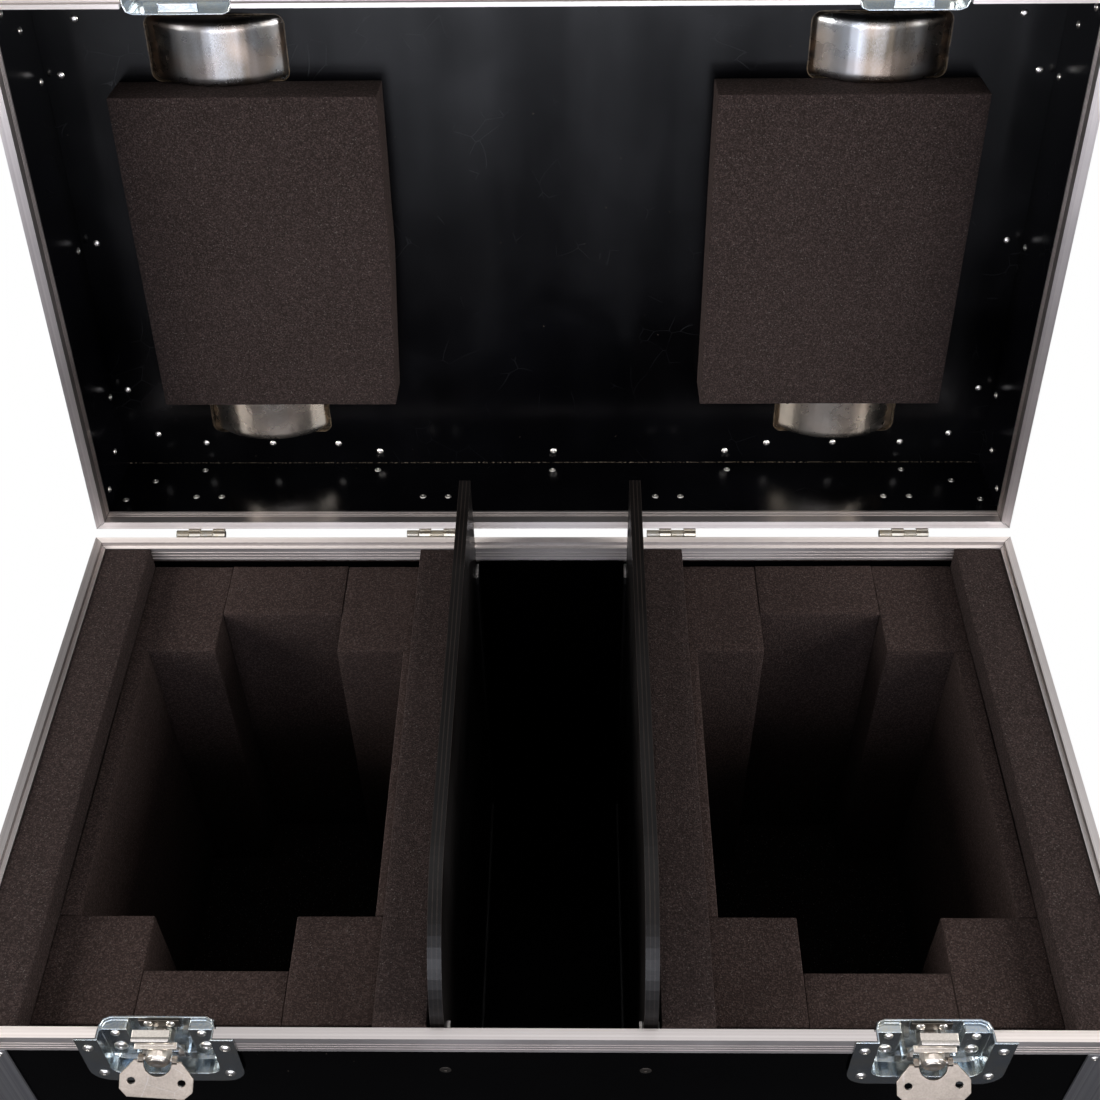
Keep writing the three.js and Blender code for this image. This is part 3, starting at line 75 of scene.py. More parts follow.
# Middle and half height of the upright edging of base and lid
UPRIGHTS = ((219 * MM, 191 * MM), (479 * MM, 29 * MM))

SIDES = {"left": -1, "right": 1}
ENDS = {"front": -1, "rear": 1}
CORNERS = list(product(SIDES.values(), ENDS.values()))
PLACES = {f"{end}_{side}": (SIDES[side], ENDS[end]) for end, side in product(ENDS, SIDES)}
LID_OPEN = (
    Matrix.Translation(HINGE_POINT)
    @ Matrix.Rotation(-LID_OPEN_ANGLE, 4, "X")
    @ Matrix.Translation(-HINGE_POINT)
)

Socket = bpy.types.NodeSocket
Triple = tuple[float, float, float]
Spot = tuple[Vector, Sequence[float]]
Profile = Sequence[tuple[float, float]]


class Half(Enum):
    """The half of the case that a surface belongs to, as how far it has been turned open."""

    BASE = 0.0
    LID = LID_OPEN_ANGLE


class Effect(Enum):
    """The kind of surface that a finish asks for, as the name of the method that makes it."""

    LAMINATE = "laminate"
    PLYWOOD = "plywood"
    EXTRUDED = "extruded"
    PLATED = "plated"
    PRESSED = "pressed"
    FOAM = "foam"
    RUBBER = "rubber"
    WHEEL = "wheel"


@dataclass(frozen=True)
class Finish:
    """One surface finish.

    Attributes:
        name: The material's name.
        effect: The kind of surface.
        colour: Its main colour, linear.
        second: The colour it varies towards.
        roughness: Its roughness between 0 and 1.
        half: The half of the case that carries it.
        rounding: The radius, in metres, over which facets and edges are rounded in shading.
        painted_shade_top: The height, in metres, below which painted shade darkens it.
        legs: How far painted shade darkens the upright faces of an extrusion against its level ones.
        satin: How much its level faces along the case's length scatter light evenly.
    """

    name: str
    effect: Effect
    colour: Triple
    second: Triple
    roughness: float
    half: Half = Half.BASE
    rounding: float = 0.0
    painted_shade_top: float = -1.0
    legs: float = 0.0
    satin: float = 0.0


BLACK_BOARD = Finish("black_board", Effect.LAMINATE, (0.0006, 0.0006, 0.0008), (0.0012, 0.0012, 0.0015), 0.15)
BLACK_LID = Finish("black_lid", Effect.LAMINATE, (0.0007, 0.0007, 0.0011), (0.0014, 0.0014, 0.0022), 0.16, Half.LID)
DARK_PLY = Finish("dark_plywood", Effect.PLYWOOD, (0.005, 0.0042, 0.004), (0.022, 0.0175, 0.0155), 0.3)
RIM_PALE, RIM_DARK = (0.98, 0.91, 0.875), (0.82, 0.75, 0.72)
RIM = Finish("rim_aluminium", Effect.EXTRUDED, RIM_PALE, RIM_DARK, 0.36, legs=0.6, satin=0.95)
FRONT_RIM = Finish("front_rim_aluminium", Effect.EXTRUDED, RIM_PALE, RIM_DARK, 0.34, legs=0.66)
LID_RIM = Finish("lid_rim_aluminium", Effect.EXTRUDED, RIM_PALE, RIM_DARK, 0.34, Half.LID, legs=0.6, satin=0.3)
# Painted shade: the lid's front rim takes darker copies of the rim colours.
LID_FRONT_RIM_SHADED = Finish("lid_front_rim_shaded", Effect.EXTRUDED, RIM_DARK, (0.6, 0.55, 0.53), 0.34, Half.LID, legs=0.6)
EDGING = Finish("edging_aluminium", Effect.EXTRUDED, (0.98, 0.98, 1.0), (0.74, 0.74, 0.78), 0.54)
# Painted shade darkens the channels below 394 mm, deep in the compartments.
CHANNEL = Finish("channel_aluminium", Effect.EXTRUDED, (0.7, 0.67, 0.64), (0.5, 0.48, 0.46), 0.5, painted_shade_top=394 * MM)
ZINC = Finish("blue_zinc", Effect.PLATED, (0.46, 0.54, 0.63), (0.62, 0.62, 0.56), 0.18, rounding=1.2 * MM)
CASTOR_ZINC = Finish("castor_zinc", Effect.PLATED, (0.52, 0.55, 0.58), (0.42, 0.42, 0.40), 0.3, rounding=2 * MM)
HINGE_ZINC = Finish("hinge_zinc", Effect.PLATED, (0.42, 0.41, 0.38), (0.40, 0.34, 0.24), 0.3, rounding=0.8 * MM)
STEEL = Finish("satin_steel", Effect.PLATED, (0.33, 0.28, 0.23), (0.235, 0.20, 0.165), 0.34, rounding=0.5 * MM)
HOOK_STEEL = Finish("hook_steel", Effect.PLATED, (0.86, 0.80, 0.73), (0.64, 0.59, 0.53), 0.32, rounding=0.5 * MM)
BRIGHT = Finish("bright_rivet", Effect.PLATED, (0.92, 0.89, 0.85), (0.74, 0.71, 0.67), 0.3)
DARK_STEEL = Finish("dark_steel", Effect.PLATED, (0.10, 0.09, 0.08), (0.16, 0.14, 0.12), 0.4)
DISH_STEEL = Finish("pressed_steel", Effect.PRESSED, (0.60, 0.62, 0.65), (0.20, 0.165, 0.125), 0.25, Half.LID, 5 * MM)
FOAM = Finish("charcoal_foam", Effect.FOAM, (0.023, 0.0155, 0.0138), (0.078, 0.054, 0.049), 0.95)
SLAB_FOAM = Finish("slab_foam", Effect.FOAM, (0.017, 0.0118, 0.0108), (0.062, 0.044, 0.041), 0.95)
GRIP = Finish("grip_rubber", Effect.RUBBER, (0.010, 0.010, 0.011), (0.018, 0.018, 0.019), 0.6)
WHEEL = Finish("wheel", Effect.WHEEL, (0.012, 0.012, 0.013), (0.10, 0.10, 0.105), 0.55, rounding=3 * MM)

SWIRL = Vector((0.12, 0.12, 0.12))
SQUEEZE = 0.0003
DUST = (0.30, 0.25, 0.19)
BARE_WOOD = (0.16, 0.12, 0.08)
DULL_PLY = (0.010, 0.009, 0.009)
FRESH_SCRATCH = (0.86, 0.85, 0.84)
# Painted shade for the upright faces of extrusions.
SHADED_LEG = (0.16, 0.145, 0.14)
# Painted shade for the divider channels low in the compartments.
RECESS_SHADE = (0.012, 0.011, 0.011)
JOINT_GAP = (0.05, 0.05, 0.05)
ZINC_SCRATCH = (0.8, 0.8, 0.8)
HEAT_TINGE = (0.56, 0.44, 0.36)
WARM_STEEL = (1.0, 0.90, 0.78)
# Painted shade: the near-black foam colour for the bottom of the pits.
PIT_SHADE_FOAM = (0.004, 0.0028, 0.0025)
FOAM_SPECK = (0.20, 0.18, 0.17)
DUSTY_TYRE = (0.05, 0.047, 0.043)


class Graph:
    """A node tree under construction, with short calls that add nodes and return sockets."""

    def __init__(self, tree: bpy.types.NodeTree) -> None:
        """Starts on a tree."""
        self.tree = tree

    def feed(self, target: Socket, value: object) -> None:
        """Gives an input a value or a link.

        Args:
            target: The input.
            value: The value, or the socket to link from.
        """
        if isinstance(value, Socket):
            self.tree.links.new(value, target)
        else:
            target.default_value = value

    def add(self, kind: str, inputs: dict | None = None, **settings: object) -> bpy.types.Node:
        """Adds one node.

        Args:
            kind: The node's type.
            inputs: Values or sockets, by input name or index.
            **settings: Attributes of the node.

        Returns:
            The node.
        """
        node = self.tree.nodes.new(kind)
        for name, value in settings.items():
            setattr(node, name, value)
        for key, value in (inputs or {}).items():
            self.feed(node.inputs[key], value)
        return node

    def math(self, operation: str, *values: object, clamp: bool = False) -> Socket:
        """Calculates with values, and clamps the result between 0 and 1 if asked."""
        node = self.add("ShaderNodeMath", dict(enumerate(values)), operation=operation, use_clamp=clamp)
        return node.outputs[0]

    def times(self, *values: object) -> Socket:
        """Multiplies two or more values."""
        return reduce(partial(self.math, "MULTIPLY"), values)

    def minus(self, first: object, second: object) -> Socket:
        """Takes one value from another."""
        return self.math("SUBTRACT", first, second)

    def size(self, value: Socket) -> Socket:
        """Drops a value's sign."""
        return self.math("ABSOLUTE", value)

    def vector(self, operation: str, *values: object) -> Socket:
        """Calculates with vectors, which gives a vector, or a value where the operation is LENGTH."""
        node = self.add("ShaderNodeVectorMath", dict(enumerate(values)), operation=operation)
        return node.outputs["Value" if operation == "LENGTH" else "Vector"]

    def split(self, vector: Socket) -> tuple[Socket, ...]:
        """Parts a vector or colour into its three values."""
        return tuple(self.add("ShaderNodeSeparateXYZ", {0: vector}).outputs)

    def join(self, *values: object) -> Socket:
        """Makes a vector of up to three values."""
        return self.add("ShaderNodeCombineXYZ", dict(enumerate(values))).outputs[0]

    def turn(self, vector: Socket, angle: float, centre: Sequence[float] = (0, 0, 0)) -> Socket:
        """Turns a vector by an angle about a line through the centre, along the case's length."""
        inputs = {"Vector": vector, "Center": centre, "Angle": angle}
        return self.add("ShaderNodeVectorRotate", inputs, rotation_type="X_AXIS").outputs[0]

    def noise(self, vector: Socket, scale: float, detail: float = 2.0) -> Socket:
        """Reads a noise of some scale, per metre, at a vector."""
        return self.add("ShaderNodeTexNoise", {"Vector": vector, "Scale": scale, "Detail": detail}).outputs[0]

    def remap(self, value: object, low: float, high: float, to_low: float = 0.0, to_high: float = 1.0) -> Socket:
        """Maps the range from low to high to another one, and clamps."""
        return self.add("ShaderNodeMapRange", dict(enumerate((value, low, high, to_low, to_high)))).outputs[0]

    def mix(self, factor: object, first: object, second: object, kind: str = "RGBA") -> Socket:
        """Mixes two colours, values or vectors.

        Args:
            factor: How much of the second.
            first: What there is at 0.
            second: What there is at 1.
            kind: RGBA, FLOAT or VECTOR.

        Returns:
            The mixture.
        """
        slot = ("FLOAT", "VECTOR", "RGBA").index(kind)
        first, second = [(*end, 1.0) if isinstance(end, tuple) else end for end in (first, second)]
        inputs = {0: factor, 2 * slot + 2: first, 2 * slot + 3: second}
        return self.add("ShaderNodeMix", inputs, data_type=kind).outputs[slot]


class Coat(Graph):
    """One finish's material under construction.

    Attributes:
        finish: The finish.
        shader: The material's Principled shader.
        place: Where a point is on the closed case.
        x: How far right of the middle that is.
        y: How far behind the middle.
        z: How high.
        normal: The way that the surface looks there.
    """

    def __init__(self, material: bpy.types.Material, finish: Finish) -> None:
        """Starts on a material.

        Args:
            material: The material.
            finish: Its finish.
        """
        super().__init__(material.node_tree)
        self.finish, self.shader = finish, self.tree.nodes["Principled BSDF"]
        self.place = self.turn(self.add("ShaderNodeTexCoord").outputs["Object"], finish.half.value, HINGE_POINT)
        self.normal = self.turn(self.add("ShaderNodeNewGeometry").outputs["True Normal"], finish.half.value)
        self.x, self.y, self.z = self.split(self.place)

    @cached_property
    def warped(self) -> Socket:
        """The place, swirled."""
        swirl = self.add("ShaderNodeTexNoise", {"Vector": self.place, "Scale": 6.0}).outputs[1]
        return self.vector("ADD", self.place, self.vector("MULTIPLY", swirl, SWIRL))

    @cached_property
    def smudge(self) -> Socket:
        """Faint smudges."""
        return self.remap(self.noise(self.warped, 9.0, 5.0), 0.35, 0.7)

    def scratch(self, share: float) -> Socket:
        """Makes hairline scratches.

        Args:
            share: How strong they are.

        Returns:
            Where they are.
        """
        wave = self.add("ShaderNodeTexVoronoi", {"Vector": self.warped, "Scale": 34.0}, feature="DISTANCE_TO_EDGE")
        lines = self.remap(wave.outputs[0], 0.0, 0.012, 1.0, 0.0)
        return self.times(lines, self.remap(self.noise(self.place, 20.0), 0.56, 0.62), share)

    def dust(self) -> Socket:
        """Makes small light specks.

        Returns:
            Where they are.
        """
        cells = self.add("ShaderNodeTexVoronoi", {"Vector": self.place, "Scale": 160.0}).outputs
        near = self.remap(cells["Distance"], 0.04, 0.1, 1.0, 0.0)
        return self.times(near, self.math("GREATER_THAN", self.split(cells["Color"])[0], 0.965))

    def frayed(self) -> Socket:
        """Makes the frayed film round the four holes that the dishes go through.

        Returns:
            Where it is.
        """
        past = []
        for value, middle, half in ((self.x, WHEEL_X, 49 * MM), (self.y, CASTOR_Y, 19 * MM)):
            off = self.size(self.minus(self.size(value), middle))
            past.append(self.math("MAXIMUM", self.minus(off, half), 0.0))
        beyond = self.minus(self.vector("LENGTH", self.join(*past)), 8 * MM)
        ring = self.remap(self.size(beyond), 0.7 * MM, 1.2 * MM, 1.0, 0.0)
        worn = self.remap(self.noise(self.place, 120.0, 3.0), 0.35, 0.6, 0.15, 1.0)
        return self.times(ring, worn, self.math("GREATER_THAN", self.z, 520 * MM))

    def lengths(self) -> tuple[Socket, ...]:
        """Parts an extruded frame into lengths that are mitred at the case's corners.

        Returns:
            The fine lines along each length, the mitres, 1 where the case's left or right is, and the way that the
            lines run.
        """
        past_x, past_y = self.minus(self.size(self.x), HALF_WIDTH), self.minus(self.size(self.y), HALF_DEPTH)
        difference = self.minus(past_x, past_y)
        side = self.math("GREATER_THAN", difference, 0.0)
        upright = self.math("MAXIMUM", *[self.math("COMPARE", self.z, *legs) for legs in UPRIGHTS])
        along, across = self.mix(side, self.x, self.y, "FLOAT"), self.mix(side, self.y, self.x, "FLOAT")
        level = self.join(self.times(along, SQUEEZE), across, self.z)
        standing = self.join(self.x, self.y, self.times(self.z, SQUEEZE))
        stretched = self.mix(upright, level, standing, "VECTOR")
        lines = self.mix(0.6, self.noise(stretched, 1100.0), self.noise(stretched, 380.0, 1.0), "FLOAT")
        joint = self.remap(self.size(difference), 0.15 * MM, 0.45 * MM, 1.0, 0.0)
        near = self.math("LESS_THAN", self.size(past_x), 30 * MM)
        lying = self.join(self.minus(1.0, side), side)
        way = self.turn(self.mix(upright, lying, Vector((0, 0, 1)), "VECTOR"), -self.finish.half.value)
        frames = {"vector_type": "VECTOR", "convert_from": "OBJECT", "convert_to": "WORLD"}
        tangent = self.add("ShaderNodeVectorTransform", {0: way}, **frames).outputs[0]
        return lines, self.times(joint, near, self.minus(1.0, upright)), side, tangent

    def squeezed(self, *shares: float) -> Socket:
        """Gives the place with each direction squeezed to a share, so that what reads it is stretched."""
        return self.vector("MULTIPLY", self.place, Vector(shares))

    def rougher(self, value: Socket, share: float) -> Socket:
        """Gives the finish's roughness, raised by a share of a value."""
        return self.math("ADD", self.times(value, share), self.finish.roughness)

    def surface(self, height: Socket, relief: float, **sockets: object) -> None:
        """Sets the main shader's sockets.

        Args:
            height: How high the surface's relief is.
            relief: The depth of that relief in metres.
            **sockets: Values or sockets by input name, with _ for a space.
        """
        inputs = {"Height": height, "Distance": relief, "Strength": 1.0}
        if self.finish.rounding:
            inputs["Normal"] = self.add("ShaderNodeBevel", {"Radius": self.finish.rounding}, samples=12).outputs[0]
        sockets["Normal"] = self.add("ShaderNodeBump", inputs).outputs[0]
        for name, value in sockets.items():
            self.feed(self.shader.inputs[name.replace("_", " ")], value)

    def laminate(self) -> None:
        """Makes black film-faced board, with glue along the joint of the lid's top and rear boards."""
        off_y = self.size(self.minus(self.size(self.y), HALF_DEPTH - BOARD_IN))
        off_z = self.size(self.minus(self.z, LID_INSIDE))
        seam = self.remap(self.math("MAXIMUM", off_y, off_z), 0.3 * MM, 0.9 * MM, 1.0, 0.0)
        glue = self.times(seam, self.remap(self.noise(self.place, 420.0, 4.0), 0.46, 0.66), 0.6)
        light = self.math("ADD", self.times(self.dust(), 0.35), glue, clamp=True)
        film, gloss = self.mix(self.smudge, self.finish.colour, self.finish.second), 0.04
        if self.finish.half is Half.LID:
            film = self.mix(self.frayed(), film, BARE_WOOD)
            gloss = self.remap(self.noise(self.squeezed(1, 0.16, 0.16), 15.0, 4.0), 0.35, 0.65, 0.17, 0.31)
        self.surface(
            self.noise(self.place, 1500.0), 0.012 * MM, Base_Color=self.mix(light, film, DUST),
            Roughness=self.math("ADD", self.rougher(self.smudge, 0.1), self.scratch(0.2)), Specular_IOR_Level=gloss,
        )

    def plywood(self) -> None:
        """Makes the dividers' plywood: dark sealed faces, and edges that show the layers."""
        edge = self.math("LESS_THAN", self.size(self.split(self.normal)[0]), 0.5)
        depth = self.minus(self.size(self.x), DIVIDER_X)
        wobble = self.times(self.minus(self.noise(self.place, 30.0), 0.5), 0.5 * MM)
        layer = self.math("PINGPONG", self.math("ADD", depth, wobble), PLY_LAYER)
        grain = self.noise(self.squeezed(1, 0.08, 1), 500.0, 3.0)
        lines = self.remap(layer, 0.2 * MM, 0.6 * MM, 1.0, 0.0)
        lit = self.times(lines, edge, self.remap(grain, 0.3, 0.6, 0.4, 1.0))
        face = self.mix(self.times(self.smudge, 0.5), self.finish.colour, DULL_PLY)
        self.surface(
            grain, 0.03 * MM, Base_Color=self.mix(lit, face, self.finish.second),
            Roughness=self.rougher(self.smudge, 0.2), Specular_IOR_Level=0.22,
        )

    def extruded(self) -> None:
        """Makes satin aluminium with fine lines along each length and mitred corners, and painted shade on upright
        faces and below a given height.
        """
        lines, joint, side, tangent = self.lengths()
        tone = self.mix(self.remap(lines, 0.35, 0.65), self.finish.second, self.finish.colour)
        worn = self.mix(self.scratch(0.3), tone, FRESH_SCRATCH)
        # Painted shade: upright faces are darkened towards a shaded colour by the finish's legs share.
        leg = self.math("LESS_THAN", self.size(self.split(self.normal)[2]), 0.5)
        shaded = self.mix(self.times(leg, self.finish.legs), worn, SHADED_LEG)
        # Painted shade: below the finish's given height the colour goes near black and loses its metal, standing in
        # for the shade deep in the compartments.
        shaded_low = self.math("LESS_THAN", self.z, self.finish.painted_shade_top)
        evenly = self.times(self.minus(1.0, self.math("MAXIMUM", leg, side)), self.finish.satin)
        self.surface(
            lines, 0.005 * MM, Base_Color=self.mix(self.times(joint, 0.8), self.mix(shaded_low, shaded, RECESS_SHADE), JOINT_GAP),
            Metallic=self.minus(1.0, self.math("MAXIMUM", shaded_low, evenly)), Roughness=self.rougher(self.smudge, 0.08),
            Anisotropic=0.85, Anisotropic_Rotation=0.25, Tangent=tangent,
        )

    def film(self) -> Socket:
        """Makes the uneven film of passivated zinc."""
        return self.remap(self.noise(self.place, 48.0, 3.0), 0.35, 0.68)

    def plated(self) -> None:
        """Makes plated steel, which is unevenly bright."""
        spangle = self.noise(self.place, 700.0)
        patches = self.mix(0.5, self.film(), self.remap(spangle, 0.38, 0.62), "FLOAT")
        tone = self.mix(patches, self.finish.colour, self.finish.second)
        self.surface(
            self.noise(self.place, 240.0), 0.06 * MM, Base_Color=self.mix(self.scratch(0.15), tone, ZINC_SCRATCH),
            Metallic=1.0, Roughness=self.minus(self.rougher(spangle, 0.12), 0.06),
        )

    def pressed(self) -> None:
        """Makes drawn steel with bands down its walls, a heat tinge, and warmer rear dishes."""
        fine = self.noise(self.squeezed(1, 0.4, 0.4), 1400.0)
        bands = self.noise(self.squeezed(1, 0.06, 0.06), 34.0)
        both = self.remap(self.mix(0.88, fine, bands, "FLOAT"), 0.38, 0.62)
        tinge = self.times(self.remap(self.noise(self.place, 26.0, 1.0), 0.44, 0.58), 0.55)
        steel = self.mix(tinge, self.mix(both, self.finish.second, self.finish.colour), HEAT_TINGE)
        rear = self.times(self.math("GREATER_THAN", self.y, 0.0), 0.7)
        self.surface(
            fine, 0.004 * MM, Base_Color=self.mix(rear, steel, WARM_STEEL), Metallic=1.0,
            Roughness=self.rougher(self.film(), 0.06),
        )

    def foam(self) -> None:
        """Makes cut closed-cell foam with light specks, and painted shade that darkens it further down in the pits."""
        cells = self.add("ShaderNodeTexVoronoi", {"Vector": self.place, "Scale": 1000.0}).outputs
        broad = self.noise(self.place, 14.0, 3.0)
        pick, other, _ = self.split(cells["Color"])
        grain = self.times(self.math("POWER", pick, 2.2), 0.9)
        tone = self.math("ADD", grain, self.times(broad, 0.25), clamp=True)
        speck = self.times(self.remap(cells["Distance"], 0.35, 0.6, 1.0, 0.0), self.remap(other, 0.93, 1.0), 0.5)
        lit = self.mix(tone, self.finish.colour, self.finish.second)
        # Painted shade: below 250 mm the foam colour darkens towards near black, standing in for the shade deep in the
        # pits.
        pit_shaded = self.mix(self.remap(self.z, 70 * MM, 250 * MM), PIT_SHADE_FOAM, lit)
        self.surface(
            self.math("ADD", cells["Distance"], self.times(broad, 2.0)), 0.35 * MM,
            Base_Color=self.mix(speck, pit_shaded, FOAM_SPECK), Roughness=self.finish.roughness, Specular_IOR_Level=0.12,
        )

    def rubber(self) -> None:
        """Makes moulded rubber."""
        fine, rough = self.noise(self.place, 900.0, 3.0), self.finish.roughness
        self.surface(
            fine, 0.05 * MM, Base_Color=self.mix(self.smudge, self.finish.colour, self.finish.second),
            Roughness=self.remap(fine, 0.3, 0.7, rough - 0.1, rough + 0.1),
        )

    def wheel(self) -> None:
        """Makes a wheel: a dark dusty tyre round a paler hub."""
        off = self.minus(self.size(self.x), WHEEL_X)
        radius = self.vector("LENGTH", self.join(off, 0.0, self.minus(self.z, WHEEL_Z)))
        hub = self.math("LESS_THAN", radius, 38.9 * MM)
        dusty = self.times(self.smudge, self.remap(radius, 46 * MM, 50 * MM, 0.15, 0.5))
        tyre = self.mix(dusty, self.finish.colour, DUSTY_TYRE)
        fine, rough = self.noise(self.place, 700.0, 3.0), self.finish.roughness
        self.surface(
            fine, 0.05 * MM, Base_Color=self.mix(hub, tyre, self.finish.second),
            Roughness=self.remap(fine, 0.3, 0.7, rough - 0.08, rough + 0.1),
        )


class Palette:
    """Makes each finish's material once."""

    def __init__(self) -> None:
        """Starts with none."""
        self.made: dict[str, bpy.types.Material] = {}

    def material(self, finish: Finish) -> bpy.types.Material:
        """Gives a finish's material, made when first asked for.

        Args:
            finish: The finish.

        Returns:
            The material.
        """
        if finish.name not in self.made:
            material = bpy.data.materials.new(finish.name)
            material.use_nodes = True
            getattr(Coat(material, finish), finish.effect.value)()
            self.made[finish.name] = material
        return self.made[finish.name]


class Shape:
    """A mesh under construction, made of closed bodies."""

    def __init__(self) -> None:
        """Starts empty."""
        self.mesh = bmesh.new()

    def turned(self, profile: Profile, spots: Iterable[Spot], scale: float = 1.0, facets: int = 12) -> "Shape":
        """Adds a body turned about an axis at each of some spots.

        Args:
            profile: Radius and place along the axis in millimetres, from one end to the other.
            spots: Where each body's axis starts, and its direction.
            scale: How much larger than the profile a body is.
            facets: How many sides it has.

        Returns:
            This shape.
        """
        for at, axis in spots:
            turn = Vector(axis).to_track_quat("Z", "Y").to_matrix()
            rings = []
            for radius, along in profile:
                count = facets if radius > 0 else 1
                angles = [2 * math.pi * i / count for i in range(count)]
                places = [Vector((radius * math.cos(a), radius * math.sin(a), along)) * MM * scale for a in angles]
                rings.append([self.mesh.verts.new(at + turn @ p) for p in places])
            for (low, high), i in product(zip(rings, rings[1:]), range(facets)):
                j = (i + 1) % facets
                corners = [low[i % len(low)], low[j % len(low)], high[j % len(high)], high[i % len(high)]]
                unique = list(dict.fromkeys(corners))
                if len(unique) > 2:
                    self.mesh.faces.new(unique)
        return self

    def block(
        self, low: Sequence[float], high: Sequence[float], radius: float, step: float,
        shift: Callable[[Vector], Vector] = Vector,
    ) -> "Shape":
        """Adds a box with rounded edges and a grid of points over its faces.

        Args:
            low: Its lowest corner.
            high: Its highest corner.
            radius: The radius of its edges.
            step: The grid's spacing.
            shift: What moves each point.

        Returns:
            This shape.
        """
        stops = []
        for a, b in zip(low, high):
            count = max(1, round((b - a - 2 * radius) / step))
            inner = [a + radius + (b - a - 2 * radius) * i / count for i in range(count + 1)]
            stops.append([a, a + 0.3 * radius, *inner, b - 0.3 * radius, b])
        verts: dict[tuple[int, ...], bmesh.types.BMVert] = {}

        def vert(key: tuple[int, ...]) -> bmesh.types.BMVert:
            """Gives the point at three stops, made when first asked for.

            Args:
                key: The stops' numbers.

            Returns:
                The point.
            """
            if key not in verts:
                point = Vector(stops[axis][i] for axis, i in enumerate(key))
                core = Vector(min(max(c, a + radius), b - radius) for c, a, b in zip(point, low, high))
                verts[key] = self.mesh.verts.new(shift(core + (point - core).normalized() * radius))
            return verts[key]

        for axis in range(3):
            u, v = [other for other in range(3) if other != axis]
            for end, i, j in product((0, 1), range(len(stops[u]) - 1), range(len(stops[v]) - 1)):
                keys = []
                for du, dv in ((0, 0), (1, 0), (1, 1), (0, 1)):
                    key = [0, 0, 0]
                    key[axis], key[u], key[v] = end * (len(stops[axis]) - 1), i + du, j + dv
                    keys.append(tuple(key))
                self.mesh.faces.new([vert(key) for key in keys])
        return self


POP_RIVET = ((0, -0.2), (2.8, -0.2), (2.8, 0.15), (2.2, 0.75), (1.25, 1.1), (0.9, 1.1), (0.75, 0.5), (0, 0.5))
DOME_RIVET = ((0, -0.2), (3.2, -0.2), (3.2, 0.1), (2.7, 0.9), (1.5, 1.5), (0, 1.7))
WIDE_RIVET = ((0, -0.2), (4.4, -0.2), (4.4, 0.2), (3.8, 1.0), (2.6, 1.3), (2.0, 1.2), (1.5, 0.6), (0, 0.5))
SCREW_HEAD = ((0, -0.4), (4.4, -0.4), (4.4, 0.1), (3.9, 0.35), (1.2, 0.35), (0.9, -0.1), (0, -0.1))
HEX_BOLT = ((0, -0.2), (8.4, -0.2), (8.4, 1.2), (7.2, 1.4), (6.9, 6.0), (5.8, 6.6), (0, 6.6))
COLLAR = ((0, 7.9), (6.2, 7.9), (6.2, 8.5), (5.6, 8.9), (3.2, 8.9), (2.8, 8.6), (0, 8.6))
WEB_RING = ((16.5, 4.9), (37, 4.9), (37, 5.9), (36, 6.6), (17.5, 6.6), (16.5, 5.9), (16.5, 4.9))


def both_sides(places: Iterable[Sequence[float]]) -> list[tuple[float, ...]]:
    """Gives places, of which the first value is an X, and their mirror images."""
    return [(sign * first, *rest) for first, *rest in places for sign in (-1, 1)]


@dataclass
class SubAssembly:
    """One group of pieces of the case, built and then dressed.

    Attributes:
        palette: Where materials come from.
        pieces: What was built for it.
    """

    palette: Palette
    pieces: list[bpy.types.Object] = field(default_factory=list)

    def build(self) -> None:
        """Makes the pieces that the CAD leaves out."""

    def dress(self) -> None:
        """Gives the carried-over CAD nodes their materials."""

    def paint(self, finish: Finish, *nodes: str) -> None:
        """Gives CAD nodes one finish.

        Args:
            finish: The finish.
            *nodes: The nodes' names.
        """
        for node in nodes:
            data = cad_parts[node].data
            data.materials.clear()
            data.materials.append(self.palette.material(finish))
            LOG.info("dressed %s with %s", node, finish.name)

    def keep(self, shape: Shape, name: str, body: str, finish: Finish, slot: str) -> bpy.types.Object:
        """Turns a shape into one of this group's pieces. The lid's are modelled closed and put where it is open.

        Args:
            shape: The shape.
            name: The piece's name.
            body: The CAD body that it rides on.
            finish: Its finish.
            slot: Not used.

        Returns:
            The piece.
        """
        bmesh.ops.recalc_face_normals(shape.mesh, faces=shape.mesh.faces)
        data = bpy.data.meshes.new(name)
        shape.mesh.to_mesh(data)
        shape.mesh.free()
        if body == "lid":
            data.transform(LID_OPEN)
        data.shade_smooth()
        data.set_sharp_from_angle(angle=math.radians(40))
        data.materials.append(self.palette.material(finish))
        made = bpy.data.objects.new(name, data)
        bpy.context.scene.collection.objects.link(made)
        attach(made, body)
        LOG.info("piece %s on %s", name, body)
        self.pieces.append(made)
        return made


@dataclass
class Boards(SubAssembly):
    """The boards of base and lid, with the two screws in the front."""

    def build(self) -> None:
        """Makes the countersunk screws."""
        y, z = -HALF_DEPTH + BOARD_OUT, PARTING - 52.6 * MM
        spots = [(Vector((x * MM, y, z)), (0, -1, 0)) for x in (-72.4, 73.4)]
        self.keep(Shape().turned(SCREW_HEAD, spots, facets=16), "front_screws", "base", DARK_STEEL, "steel")

    def dress(self) -> None:
        """Blackens the boards."""
        self.paint(BLACK_BOARD, "base_floor_panel", *[f"base_{side}_panel" for side in (*ENDS, *SIDES)])
        self.paint(BLACK_LID, "lid_top_panel", *[f"lid_{side}_panel" for side in (*ENDS, *SIDES)])


